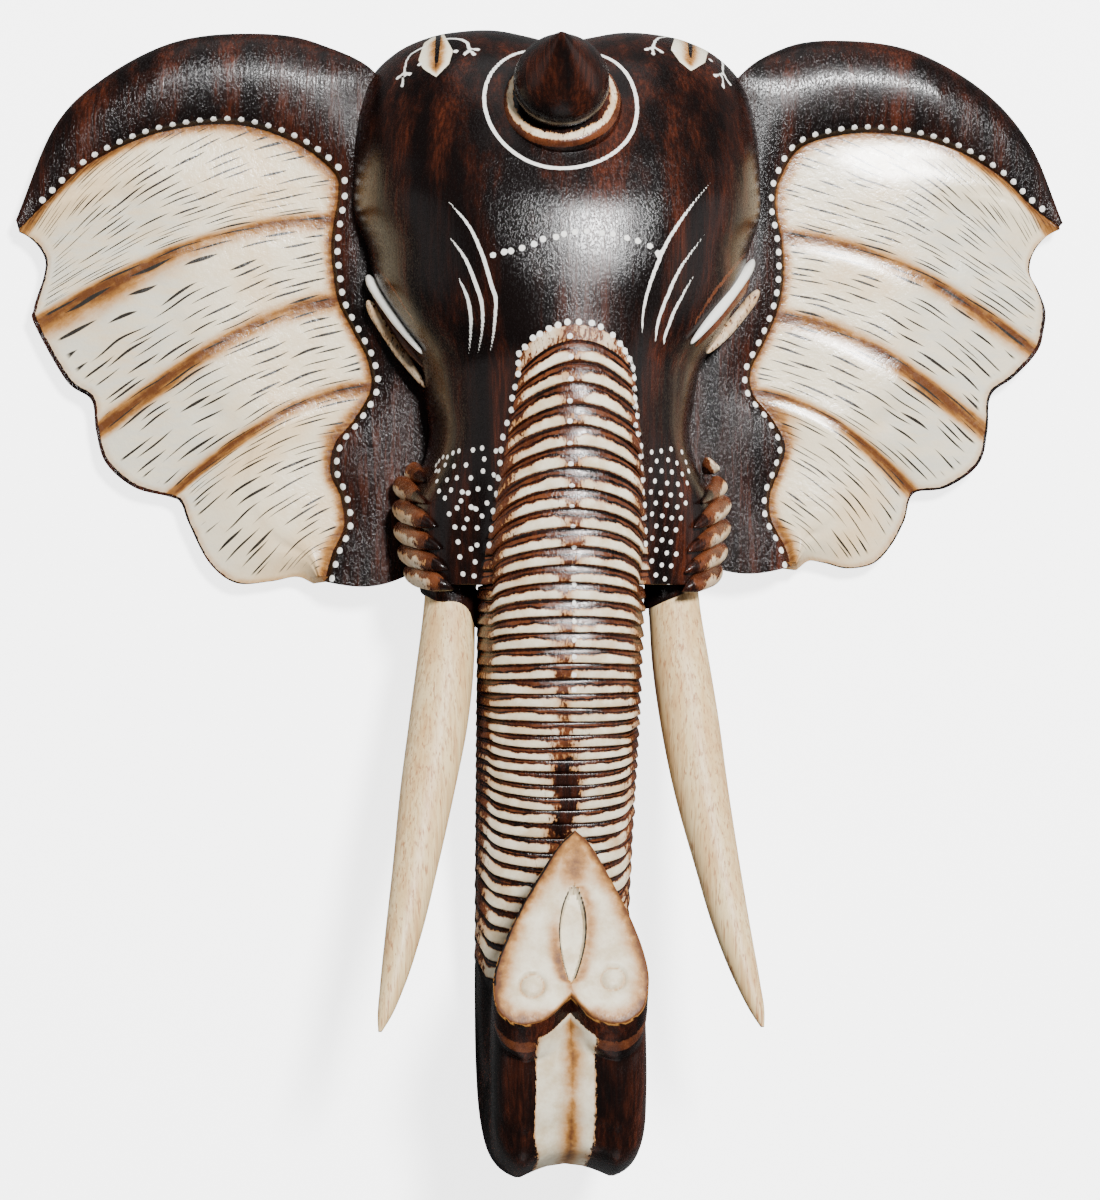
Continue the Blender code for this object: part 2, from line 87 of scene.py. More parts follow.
def ripple(x, y, seed, waves=7):
    """Soft hand-made unevenness in about -1..1: a sum of sine waves with seeded directions and lengths."""
    rng = np.random.default_rng(seed)
    total = np.zeros(np.broadcast(x, y).shape)
    for n in range(waves):
        angle = rng.uniform(0, math.tau)
        pitch = rng.uniform(0.6, 1.9)
        total = total + np.sin((x * math.cos(angle) + y * math.sin(angle)) * pitch + rng.uniform(0, math.tau))
    return total / math.sqrt(waves * 1.6)


print("smooth curves ready")

# %% [markdown]
# ## From grids of points to a mesh
# Every carved surface below is a grid: one number runs along the piece and one runs round it. Such a mesh
# could also be sculpted or cut from a block, but a grid worked out as whole arrays is quick, and its rows
# can follow the cuts of the carving. The first helpers turn grids into quads.

# %% Grids and their quads
def flat_rows(points):
    """A grid's points as one long list."""
    return points.reshape(-1, points.shape[-1])


def grid_faces(rows, columns, offset=0, wrap=False):
    """Corner numbers of the quads between neighbouring rows and columns."""
    last = columns if wrap else columns - 1
    r, c = np.meshgrid(np.arange(rows - 1), np.arange(last), indexing="ij")
    nxt = (c + 1) % columns
    here = r * columns
    below = (r + 1) * columns
    quads = np.stack([here + c, here + nxt, below + nxt, below + c], axis=-1)
    return quads.reshape(-1, 4) + offset


def join_grids(grids, wraps):
    """Points and quads of several grids as one mesh: a grid's corner numbers follow those of the last one."""
    faces = []
    offset = 0
    for grid, wrap in zip(grids, wraps):
        faces.extend(grid_faces(grid.shape[0], grid.shape[1], offset, wrap).tolist())
        offset += grid.shape[0] * grid.shape[1]
    return np.concatenate([flat_rows(grid) for grid in grids]), faces


def close_ends(grid):
    """Adds a row at each end whose points all meet in the middle of the row beside it."""
    around = grid.shape[1]
    first = grid[:1].mean(axis=1, keepdims=True).repeat(around, 1)
    last = grid[-1:].mean(axis=1, keepdims=True).repeat(around, 1)
    return np.concatenate([first, grid, last])


print("quads of a 3 by 4 grid:", len(grid_faces(3, 4)))

# %% [markdown]
# ## Painted numbers
# The real painter works with a stick's end and a dry brush. A picture wrapped round the mask would blur the
# small dots, so each mark rides on the mesh as one number per point instead. White, tan and core say how many
# millimetres a point lies inside a painted shape, and the shader draws a crisp edge where that number is 0.
# Cream, stain and smoke say how much of that paint is on the point; on the trunk's tip the smoke numbers
# also hold painted shade.

# %% Painted numbers and the mesh helper
BARE = -5.0
MARK_DEFAULTS = {"white": BARE, "tan": BARE, "core": BARE, "cream": 0.0, "stain": 0.0, "smoke_and_shade": 0.0}
MERGE_DISTANCE = 2e-6
SLIVER = 1e-6


def paint_over(grids, paints):
    """Painted numbers of grids that become one mesh; a mark that a grid doesn't have stays bare on it."""
    fields = {}
    for mark, bare in MARK_DEFAULTS.items():
        parts = [paint.get(mark, np.full(len(flat_rows(grid)), bare)) for grid, paint in zip(grids, paints)]
        fields[mark] = np.concatenate([part.ravel() for part in parts])
    return fields


def mesh_piece(name, points, faces, fields, material, nodes, sharp=38.0):
    """Makes a closed, merged, smooth mesh object from points in millimetres and puts it on the frame."""
    mesh = bpy.data.meshes.new(name)
    mesh.from_pydata((points * MM).tolist(), [], [list(map(int, face)) for face in faces])
    for mark, bare in MARK_DEFAULTS.items():
        fields.setdefault(mark, np.full(len(points), bare))
    for mark, values in fields.items():
        layer = mesh.attributes.new(mark, "FLOAT", "POINT")
        layer.data.foreach_set("value", np.ascontiguousarray(values, dtype=np.float32))
    work = bmesh.new()
    work.from_mesh(mesh)
    bmesh.ops.remove_doubles(work, verts=work.verts, dist=MERGE_DISTANCE)
    bmesh.ops.dissolve_degenerate(work, dist=SLIVER, edges=work.edges)
    bmesh.ops.recalc_face_normals(work, faces=work.faces)
    open_edges = sum(1 for edge in work.edges if len(edge.link_faces) != 2)
    work.to_mesh(mesh)
    work.free()
    mesh.shade_smooth()
    mesh.set_sharp_from_angle(angle=math.radians(sharp))
    mesh.materials.append(material)
    item = bpy.data.objects.new(name, mesh)
    bpy.context.scene.collection.objects.link(item)
    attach(item, "root")
    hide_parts(*nodes)
    corners = sum(len(face.vertices) - 2 for face in mesh.polygons)
    low, high = np.round(points.min(axis=0), 1), np.round(points.max(axis=0), 1)
    print(f"{name}: {corners} triangles, {open_edges} open edges, from {low} to {high} mm")


print("marks on every mesh:", list(MARK_DEFAULTS))

# %% Distance to painted marks
MARK_MARGIN = 6


def paint_marks(points, marks):
    """How far inside the nearest painted mark each point is, in millimetres. A mark is a path with a half
    width w at each place, and the value is (w squared - distance squared) / 2w; a dot is a path that
    stays in one place."""
    inside = np.full(len(points), BARE)
    for path, widths in marks:
        lowest = path.min(axis=0) - MARK_MARGIN
        highest = path.max(axis=0) + MARK_MARGIN
        near = np.flatnonzero(((points > lowest) & (points < highest)).all(axis=1))
        local = points[near]
        for first, second, w_first, w_second in zip(path, path[1:], widths, widths[1:]):
            step = second - first
            along = np.clip((local - first) @ step / max(step @ step, 1e-9), 0, 1)
            gap = ((local - first - along[:, None] * step) ** 2).sum(axis=1)
            w = w_first + along * (w_second - w_first)
            inside[near] = np.maximum(inside[near], (w * w - gap) / (2 * w))
    return inside


def dots(centres, radius):
    """Marks for round dots: each is a path from its centre to the same place."""
    return [(np.array([centre, centre]), [radius, radius]) for centre in centres]


print("inside a dot of radius 1.5 at its middle:", paint_marks(np.zeros((1, 3)), dots([np.zeros(3)], 1.5))[0])

# %% [markdown]
# ## Where the camera stands
# The camera looks at the face from a little to its left. It is set up first, because the painted marks are
# placed by where they show in the picture: a place in the picture is followed back to the carved surface.

# %% Camera
CAMERA_TARGET = np.array([1.3, -2.7, 10.0])
CAMERA_DISTANCE = 1590.0
CAMERA_TURN = math.radians(6.0)
FOCAL_LENGTH = 106.3
SENSOR = 36.0
PICTURE_SIZE = np.array([1100, 1200])
toward_camera = np.array([-math.sin(CAMERA_TURN), 0.0, math.cos(CAMERA_TURN)])
picture_right = np.array([math.cos(CAMERA_TURN), 0.0, math.sin(CAMERA_TURN)])
camera_place = CAMERA_TARGET + CAMERA_DISTANCE * toward_camera
focal_pixels = FOCAL_LENGTH / SENSOR * PICTURE_SIZE[1]

camera_data = bpy.data.cameras.new("camera")
camera_data.lens = FOCAL_LENGTH
camera_data.sensor_width = SENSOR
camera = bpy.data.objects.new("camera", camera_data)
bpy.context.scene.collection.objects.link(camera)
camera.location = Vector(camera_place * MM)
camera.rotation_euler = (0.0, -CAMERA_TURN, 0.0)
bpy.context.scene.camera = camera


def picture_place(points):
    """Where points land in the picture: their sideways and downward distance over their depth."""
    away = points - camera_place
    depth = -(away @ toward_camera)
    shares = np.stack([away @ picture_right / depth, -away[:, 1] / depth], axis=-1)
    return shares * focal_pixels + PICTURE_SIZE / 2


def on_surface(points, pixels):
    """Places on a surface that show at the given places of the picture: the depth of the nearest front
    point, reached along the line of sight."""
    seen = picture_place(points)
    found = []
    for pixel in np.atleast_2d(np.asarray(pixels, float)):
        nearest = np.argmin(((seen - pixel) ** 2).sum(axis=1) - 0.1 * points[:, 2])
        depth = -((points[nearest] - camera_place) @ toward_camera)
        aside, lower = (pixel - PICTURE_SIZE / 2) * depth / focal_pixels
        found.append(camera_place - toward_camera * depth + picture_right * aside - np.array([0, lower, 0]))
    return np.array(found)


print("camera at", np.round(camera_place, 1), "mm")

# %% [markdown]
# ## The dark lacquered wood
# The carver stains the wood almost black and rubs it back, so reddish brown shows along the grain, and
# then seals it with a glossy coat that keeps the pores of the wood as fine pits. The finish could come from
# a photograph of wood, but noise stretched along the grain stays sharp at any distance and has no seams.
# Four effects are used again and again, so they are node groups: lacquered wood with grain and pits, dry
# brushed paint with a ragged edge, small marks with a crisp edge, and smoky stain, which on the trunk's tip
# also lays down painted shade.

# %% Small helpers for node trees
def add_node(tree, kind, **settings):
    """A new node with its settings."""
    made = tree.nodes.new(kind)
    for key, value in settings.items():
        setattr(made, key, value)
    return made


def wire(tree, source, target):
    """Feeds a socket from another socket, or sets it to a plain number or an (r, g, b) colour."""
    if hasattr(source, "is_linked"):
        tree.links.new(source, target)
    else:
        target.default_value = (*source, 1.0) if isinstance(source, tuple) else source


def math_node(tree, operation, first, second=None, clamp=False):
    """One Math node; inputs are sockets or plain numbers."""
    made = add_node(tree, "ShaderNodeMath", operation=operation, use_clamp=clamp)
    wire(tree, first, made.inputs[0])
    if second is not None:
        wire(tree, second, made.inputs[1])
    return made.outputs[0]


def times(tree, first, second, clamp=False):
    """The product of two inputs."""
    return math_node(tree, "MULTIPLY", first, second, clamp)


def plus(tree, first, second):
    """The sum of two inputs."""
    return math_node(tree, "ADD", first, second)


def minus(tree, first, second):
    """The first input less the second."""
    return math_node(tree, "SUBTRACT", first, second)


def between(tree, value, low, high, out_low=0.0, out_high=1.0):
    """Smoothly maps low..high to out_low..out_high."""
    made = add_node(tree, "ShaderNodeMapRange", interpolation_type="SMOOTHSTEP")
    labels = ("Value", "From Min", "From Max", "To Min", "To Max")
    for label, source in zip(labels, (value, low, high, out_low, out_high)):
        wire(tree, source, made.inputs[label])
    return made.outputs["Result"]


def mix_colour(tree, factor, first, second):
    """Mixes two colours, each a socket or (r, g, b). A Mix node's colours are its inputs 6 and 7."""
    made = add_node(tree, "ShaderNodeMix", data_type="RGBA")
    wire(tree, factor, made.inputs["Factor"])
    wire(tree, first, made.inputs[6])
    wire(tree, second, made.inputs[7])
    return made.outputs[2]


def mix_number(tree, factor, first, second):
    """Mixes two numbers."""
    made = add_node(tree, "ShaderNodeMix", data_type="FLOAT")
    wire(tree, factor, made.inputs["Factor"])
    wire(tree, first, made.inputs["A"])
    wire(tree, second, made.inputs["B"])
    return made.outputs["Result"]


def noise(tree, where, scale, detail=3.0, rough=0.55, stretch=None):
    """Noise value at a place, with the place stretched along the axes first."""
    if stretch:
        mapping = add_node(tree, "ShaderNodeMapping")
        mapping.inputs["Scale"].default_value = stretch
        wire(tree, where, mapping.inputs["Vector"])
        where = mapping.outputs["Vector"]
    made = add_node(tree, "ShaderNodeTexNoise")
    wire(tree, where, made.inputs["Vector"])
    made.inputs["Scale"].default_value = scale
    made.inputs["Detail"].default_value = detail
    made.inputs["Roughness"].default_value = rough
    return made.outputs["Fac"]


def field(tree, name):
    """The painted number stored on the mesh under that name."""
    return add_node(tree, "ShaderNodeAttribute", attribute_name=name).outputs["Fac"]


def new_group(name, inputs, outputs):
    """A node group with its named inputs and outputs, and the two nodes that stand for them inside it."""
    group = bpy.data.node_groups.new(name, "ShaderNodeTree")
    for label, kind, value in inputs:
        socket = group.interface.new_socket(name=label, in_out="INPUT", socket_type=kind)
        if value is not None:
            socket.default_value = value
    for label, kind in outputs:
        group.interface.new_socket(name=label, in_out="OUTPUT", socket_type=kind)
    return group, add_node(group, "NodeGroupInput"), add_node(group, "NodeGroupOutput")


def use_group(tree, group, **values):
    """Places a node group, with an underscore for each space in the names of its inputs."""
    made = add_node(tree, "ShaderNodeGroup", node_tree=group)
    for label, value in values.items():
        wire(tree, value, made.inputs[label.replace("_", " ")])
    return made


print("node helpers ready")

# %% Lacquered wood as a node group
BLACK = (0.0035, 0.0020, 0.0018)
RED_BROWN = (0.062, 0.0140, 0.0060)

lacquer_group, inside, outside = new_group(
    "lacquered_wood", [("Place", "NodeSocketVector", None), ("Rubbed", "NodeSocketFloat", 1.0)],
    [("Colour", "NodeSocketColor"), ("Roughness", "NodeSocketFloat"), ("Height", "NodeSocketFloat")])
place = inside.outputs["Place"]
broad = noise(lacquer_group, place, 16.0, 4.0, 0.6, (5.0, 0.55, 5.0))
fibre = noise(lacquer_group, place, 150.0, 3.0, 0.6, (5.0, 0.35, 5.0))
pits = between(lacquer_group, noise(lacquer_group, place, 900.0, 2.0, 0.7, (1.5, 0.8, 1.5)), 0.46, 0.66)
rubbed = times(lacquer_group, between(lacquer_group, broad, 0.38, 0.80),
               plus(lacquer_group, between(lacquer_group, fibre, 0.40, 0.70), 0.35), True)
rubbed = times(lacquer_group, rubbed, inside.outputs["Rubbed"], True)
wire(lacquer_group, mix_colour(lacquer_group, rubbed, BLACK, RED_BROWN), outside.inputs["Colour"])
wire(lacquer_group, between(lacquer_group, pits, 0.0, 1.0, 0.20, 0.30), outside.inputs["Roughness"])
height = minus(lacquer_group, times(lacquer_group, fibre, 0.5), times(lacquer_group, pits, 0.22))
wire(lacquer_group, height, outside.inputs["Height"])
print("group:", lacquer_group.name)

# %% Dry brushed paint as a node group
brush_group, inside, outside = new_group(
    "dry_brush",
    [("Place", "NodeSocketVector", None), ("Amount", "NodeSocketFloat", 0.0),
     ("Ragged", "NodeSocketFloat", 0.3)],
    [("Cover", "NodeSocketFloat")])
rag = noise(brush_group, inside.outputs["Place"], 420.0, 4.0, 0.65, (2.2, 0.8, 1.2))
shifted = times(brush_group, minus(brush_group, rag, 0.5), inside.outputs["Ragged"])
total = plus(brush_group, inside.outputs["Amount"], shifted)
wire(brush_group, between(brush_group, total, 0.42, 0.58), outside.inputs["Cover"])
print("group:", brush_group.name)

# %% Small crisp marks as a node group
mark_group, inside, outside = new_group(
    "painted_mark",
    [("Place", "NodeSocketVector", None), ("Depth inside", "NodeSocketFloat", BARE),
     ("Wobble", "NodeSocketFloat", 0.35)],
    [("Cover", "NodeSocketFloat")])
wobble = minus(mark_group, noise(mark_group, inside.outputs["Place"], 500.0, 2.0, 0.5), 0.5)
edge = plus(mark_group, inside.outputs["Depth inside"], times(mark_group, wobble, inside.outputs["Wobble"]))
wire(mark_group, between(mark_group, edge, -0.12, 0.12), outside.inputs["Cover"])
print("group:", mark_group.name)

# %% Smoky stain and painted shade as a node group
# the smoke colours also serve for the painted shade on the trunk's tip
SMOKE_AND_SHADE_LIGHT = (0.42, 0.19, 0.045)
SMOKE_AND_SHADE_DARK = (0.10, 0.035, 0.012)

smoke_and_shade_group, inside, outside = new_group(
    "smoky_stain_and_shade",
    [("Place", "NodeSocketVector", None), ("Amount", "NodeSocketFloat", 0.0),
     ("Uneven", "NodeSocketFloat", 1.0)],
    [("Colour", "NodeSocketColor"), ("Cover", "NodeSocketFloat")])
cloud = noise(smoke_and_shade_group, inside.outputs["Place"], 55.0, 5.0, 0.65)
streak = noise(smoke_and_shade_group, inside.outputs["Place"], 300.0, 3.0, 0.6)
uneven = plus(smoke_and_shade_group, times(smoke_and_shade_group, cloud, 1.2), times(smoke_and_shade_group, streak, 0.8))
uneven = times(smoke_and_shade_group, minus(smoke_and_shade_group, uneven, 1.0), inside.outputs["Uneven"])
cover = times(smoke_and_shade_group, inside.outputs["Amount"], plus(smoke_and_shade_group, uneven, 1.0))
wire(smoke_and_shade_group, between(smoke_and_shade_group, cover, 0.0, 1.0), outside.inputs["Cover"])
darkness = between(smoke_and_shade_group, cover, 0.60, 1.40)
wire(smoke_and_shade_group, mix_colour(smoke_and_shade_group, darkness, SMOKE_AND_SHADE_LIGHT, SMOKE_AND_SHADE_DARK), outside.inputs["Colour"])
print("group:", smoke_and_shade_group.name)

# %% [markdown]
# ## The lacquer material
# The dark parts of the mask share one finish, with paint laid over it in thin coats: brown stain first, then
# cream rubbed on the high places, smoke with some painted shade on the trunk's tip, and white marks last. A
# separate material for each paint would need cut edges in the mesh. Here one material serves the head, the
# trunk, the knob, the folds and the cuffs. The numbers on each mesh say where the paint goes, and the nodes
# give it ragged, hand-made edges.

# %% Starting and finishing a material
def start_material(name):
    """A material with its output and shader, and the place on the object that patterns are drawn from."""
    material = bpy.data.materials.new(name)
    material.use_nodes = True
    tree = material.node_tree
    tree.nodes.clear()
    output = add_node(tree, "ShaderNodeOutputMaterial")
    shader = add_node(tree, "ShaderNodeBsdfPrincipled")
    wire(tree, shader.outputs["BSDF"], output.inputs["Surface"])
    coordinates = add_node(tree, "ShaderNodeTexCoord").outputs["Object"]
    return material, tree, shader, coordinates


def finish_material(tree, shader, colour, roughness, height, strength=0.55, depth=0.0006):
    """Feeds the shader, with the height as a bump of the given strength and depth in metres."""
    wire(tree, colour, shader.inputs["Base Color"])
    wire(tree, roughness, shader.inputs["Roughness"])
    bump = add_node(tree, "ShaderNodeBump")
    bump.inputs["Strength"].default_value = strength
    bump.inputs["Distance"].default_value = depth
    wire(tree, height, bump.inputs["Height"])
    wire(tree, bump.outputs["Normal"], shader.inputs["Normal"])


print("material helpers ready")

# %% The painted lacquer material
WHITE = (0.80, 0.79, 0.74)
STAIN_DARK = (0.048, 0.0135, 0.0060)
STAIN_LIGHT = (0.120, 0.0350, 0.0125)
CREAM_WARM = (0.42, 0.19, 0.062)
CREAM_DULL = (0.56, 0.44, 0.27)
CREAM_CLEAN = (0.78, 0.71, 0.54)


def painted_cover(tree, place, mark):
    """Where a mark that is stored as a distance covers the surface."""
    return use_group(tree, mark_group, Place=place, Depth_inside=field(tree, mark)).outputs["Cover"]


def brushed_cover(tree, place, mark, ragged):
    """Where a mark that is stored as an amount covers the surface."""
    return use_group(tree, brush_group, Place=place, Amount=field(tree, mark), Ragged=ragged).outputs["Cover"]


def lacquer_material(name):
    """Dark lacquer with rubbed grain, and stain, cream, smoke and white paint over it."""
    material, tree, shader, place = start_material(name)
    wood = use_group(tree, lacquer_group, Place=place)
    blotch = noise(tree, place, 90.0, 4.0, 0.7)
    stain = brushed_cover(tree, place, "stain", 0.9)
    stain_colour = mix_colour(tree, between(tree, blotch, 0.35, 0.65), STAIN_DARK, STAIN_LIGHT)
    colour = mix_colour(tree, stain, wood.outputs["Colour"], stain_colour)
    cream = brushed_cover(tree, place, "cream", 1.5)
    cream_colour = mix_colour(tree, between(tree, blotch, 0.3, 0.7), CREAM_DULL, CREAM_CLEAN)
    thick = plus(tree, field(tree, "cream"), times(tree, blotch, 0.5))
    cream_colour = mix_colour(tree, between(tree, thick, 0.62, 1.10), CREAM_WARM, cream_colour)
    colour = mix_colour(tree, cream, colour, cream_colour)
    colour = mix_colour(tree, painted_cover(tree, place, "tan"), colour, CREAM_CLEAN)
    # smoke, which on the trunk's tip also holds painted shade on the lobes and round the nostrils
    smoke_and_shade = use_group(tree, smoke_and_shade_group, Place=place, Amount=field(tree, "smoke_and_shade"))
    colour = mix_colour(tree, smoke_and_shade.outputs["Cover"], colour, smoke_and_shade.outputs["Colour"])
    colour = mix_colour(tree, painted_cover(tree, place, "core"), colour, BLACK)
    white = painted_cover(tree, place, "white")
    colour = mix_colour(tree, white, colour, WHITE)
    painted = math_node(tree, "MAXIMUM", cream, white)
    roughness = plus(tree, wood.outputs["Roughness"], times(tree, painted, 0.2))
    height = plus(tree, wood.outputs["Height"], times(tree, painted, 0.35))
    finish_material(tree, shader, colour, roughness, height, 0.36, 0.0004)
    shader.inputs["Specular IOR Level"].default_value = 0.27
    return material


lacquer = lacquer_material("dark_lacquer")
print("material:", lacquer.name)

# %% [markdown]
# ## The head's shape
# A carver sees the head as slices. Over the crown they fan out round a line across the head; below it
# they are level slices down the face. Each section has nine places from the middle of the face round to
# the flat back, so the forehead, brow, cheeks and sides all come from one small table. Sculpting by hand
# could give the same form, but a table can be put right row by row while it is held against the picture.

# %% The head's sections
FAN_CENTRE = 185.0
FAN_STEP = 1.45
HEAD_SHIFT = 3.4
CHEEK_BASE = -4.0
CROWN_X = [0, 14, 28, 42, 57, 72, 84, 91, 90.5]
CROWN_ROWS = [
    (0, [60, 61.5, 62.5, 62, 60, 53, 40, 20, 0]),
    (24, [65, 68, 70.5, 70, 67, 59.5, 46, 22, 0]),
    (38, [70.5, 73, 75, 74.5, 70.5, 62, 48, 23, 0]),
    (54, [76.5, 77.5, 78, 76.5, 72.5, 63.5, 49, 23, 0]),
    (67, [78, 78.5, 78.5, 77, 72.5, 63.5, 49, 23, 0]),
    (80, [81.5, 81.5, 81, 79, 74, 65, 49, 23, 0]),
]
FACE_ROWS = [
    (185, CROWN_X, [87, 86.5, 85.5, 83, 77, 66.5, 49.5, 23, 0]),
    (170, [0, 14, 28, 42, 57, 72, 84.5, 91, 90], [92, 91.5, 90, 87, 80.5, 69, 50, 24, 0]),
    (150, [0, 13, 26, 39, 52, 66, 77.5, 84.5, 83], [95, 94.5, 93, 90, 83.5, 72.5, 54, 28, 0]),
    (135, [0, 12.5, 25, 37, 49, 62, 74, 81, 79], [96, 95.5, 94, 90.5, 84.5, 75, 59, 34, 0]),
    (118, [0, 12, 24, 34, 45, 57, 67, 73, 71.5], [96.5, 95.5, 93, 89, 83, 74, 60, 34, 0]),
    (100, [0, 12, 22.5, 30, 39, 48, 56.5, 62.5, 61.5], [97, 95.5, 92, 87, 80, 71, 58.5, 34, 0]),
    (85, [0, 13, 24.5, 31.5, 38.5, 46, 53.5, 59.5, 58.5], [97, 95, 90.5, 85, 78.5, 70.5, 58.5, 34, 0]),
    (70, [0, 14, 26, 33, 39.5, 46, 52.5, 57.5, 56.5], [96.5, 94.5, 89, 83, 77, 70, 58, 34, 0]),
    (55, [0, 15, 27, 34, 42, 49, 56, 61, 60], [95.5, 93.5, 88, 81.5, 75.5, 69.5, 58, 35, 0]),
    (40, [0, 16, 28, 35, 45, 53.5, 62, 68.5, 67], [94, 92, 86, 79, 74, 68.5, 58.5, 36, 0]),
    (22, [0, 17, 29, 35.5, 45.5, 54.5, 62, 67.5, 66], [92, 90, 83.5, 76.5, 71.5, 67, 57.5, 35, 0]),
    (4, [0, 18, 29.3, 33.5, 45, 54, 61, 65, 63], [90, 87.8, 80.5, 73.5, 69, 65, 56, 34, 0]),
]
HEAD_KNOTS = np.array([-FAN_CENTRE - (90 - angle) * FAN_STEP for angle, radii in CROWN_ROWS]
                      + [-height for height, across, out in FACE_ROWS])
HEAD_TABLE = np.array([list(zip(CROWN_X, radii)) for angle, radii in CROWN_ROWS]
                      + [list(zip(across, out)) for height, across, out in FACE_ROWS], float)
HEAD_TABLE = np.concatenate([HEAD_TABLE[:, 1:2] * [-1, 1], HEAD_TABLE], axis=1)


def pick(table, index):
    """From each row of a table, the entry with that row's own index."""
    return np.take_along_axis(table, index[..., None, None].repeat(2, -1), -2)[..., 0, :]


def head_surface(down, column):
    """Head point: the table blended down the face, then round the section; over the crown the section's
    second number is a distance from the fan's line, turned up by the row's angle."""
    down, column = np.broadcast_arrays(down, column)
    row = smooth(HEAD_KNOTS, HEAD_TABLE, down)
    slopes = np.gradient(row, axis=-2)
    low = np.clip(np.floor(column).astype(int) + 1, 0, 8)
    part = (column + 1 - low)[..., None]
    blend = part * part * (3 - 2 * part)
    flat = (pick(row, low) * (1 - blend) + pick(row, low + 1) * blend
            + pick(slopes, low) * part * (1 - part) ** 2 - pick(slopes, low + 1) * part * part * (1 - part))
    angle = np.radians(90 - np.clip(-FAN_CENTRE - down, 0, None) / FAN_STEP)
    crown = down < -FAN_CENTRE
    y = np.where(crown, FAN_CENTRE + flat[..., 1] * np.cos(angle), -down)
    z = np.where(crown, flat[..., 1] * np.sin(angle), flat[..., 1])
    return np.stack([flat[..., 0], y, z], axis=-1)


print("head rows:", len(HEAD_KNOTS))

# %% [markdown]
# ## The trunk's shape
# The trunk leaves the face, runs down to the floor, and curls up and forward so that its tip faces the
# viewer. It is a rounded section between a front line and a back line, with a shallow channel in its back
# that ends as the notch between the tip's two lobes. A curve with a bevel would make a plain tube; the
# table lets the trunk widen, flatten and turn as the carving does.

# %% The trunk's sections
TRUNK_ROWS = [
    (-4, 4, 90, 4, 24, 36.0, 0.0),
    (25, -25, 87, -25, 19, 35.5, 0.0),
    (55, -55, 80, -58, 13, 35.2, 0.0),
    (85, -85, 70, -92, 8, 34.6, 1.0),
    (115, -115, 60, -125, 3.5, 34.0, 3.0),
    (145, -145, 52, -160, 0.6, 33.6, 5.0),
    (170, -170, 48, -192, 0.6, 33.5, 6.5),
    (186, -186, 48.5, -222, 8, 33.4, 7.5),
    (197, -195, 53, -242.5, 24, 33.2, 7.5),
    (205, -199.5, 60, -251.5, 50, 33.0, 7.5),
    (213, -198, 68, -252, 80, 33.0, 7.5),
    (223, -189, 72.5, -244.5, 103, 33.2, 7.5),
    (240, -172, 74.5, -228, 113.5, 33.2, 7.5),
    (262, -150, 76.5, -208, 117.5, 32.6, 7.0),
    (285, -127, 80.5, -193, 118.5, 32.0, 6.5),
    (302, -110, 84, -186, 122, 32.8, 8.0),
    (312, -101, 86.5, -179.5, 126, 33.2, 10.0),
]
TRUNK_ANGLES = [0, 24, 50, 66, 84, 104, 126, 152, 180]
TRUNK_POWER = 2.0 / 2.6
TRUNK_BACK_POWER = 2.0 / 3.4
TRUNK_SHIFT = [(-110, 5.0), (-50, 3.0), (-15, 1.6), (60, 0.8), (120, 0.3), (312, 0.0)]
HEART_START = 262.0
TIP_DOWN = 312.0
CHANNEL_HALF = 20.0


def trunk_surface(down, column):
    """Trunk point: middle of the row plus a rounded-box curve, narrower in front near the tip, with a
    parabolic channel pressed into the back."""
    down, column = np.broadcast_arrays(down, column)
    rows = np.asarray(TRUNK_ROWS, float)
    got = smooth(rows[:, 0], rows[:, 1:], down)
    front = got[..., 0:2]
    back = got[..., 2:4]
    half = got[..., 4]
    channel = got[..., 5]
    angle = np.radians(smooth(np.arange(9), TRUNK_ANGLES, column))
    power = np.where(angle < math.pi / 2, TRUNK_POWER, TRUNK_BACK_POWER)
    side = np.clip(np.sin(angle), 0, 1) ** power
    along = np.sign(np.cos(angle)) * np.abs(np.cos(angle)) ** power
    heart = np.clip((down - HEART_START) / (TIP_DOWN - HEART_START), 0, 1)
    side = side * (1 - heart * 0.55 * np.clip(along, 0, 1) ** 1.2)
    reach = (front - back) / 2
    spot = (front + back) / 2 + reach * along[..., None]
    inward = reach / np.linalg.norm(reach, axis=-1)[..., None]
    groove = np.where(along < 0, channel * np.clip(1 - (half * side / CHANNEL_HALF) ** 2, 0, None), 0.0)
    spot = spot + inward * groove[..., None]
    return np.stack([half * side, spot[..., 0], np.clip(spot[..., 1], 0, None)], axis=-1)


print("trunk rows:", len(TRUNK_ROWS))

# %% [markdown]
# ## Ribs across the trunk
# Each rib is a small shingle: the wood rises slowly to a lip and drops steeply to the cut above the next
# one. The cuts are not level: they arch over the brow end, go flat, and sag like a smile lower down. A bump
# pattern would look flat from the side, and cutting with other shapes leaves ragged edges. Here the grid's
# rows follow the cuts, so that each cut stays sharp.

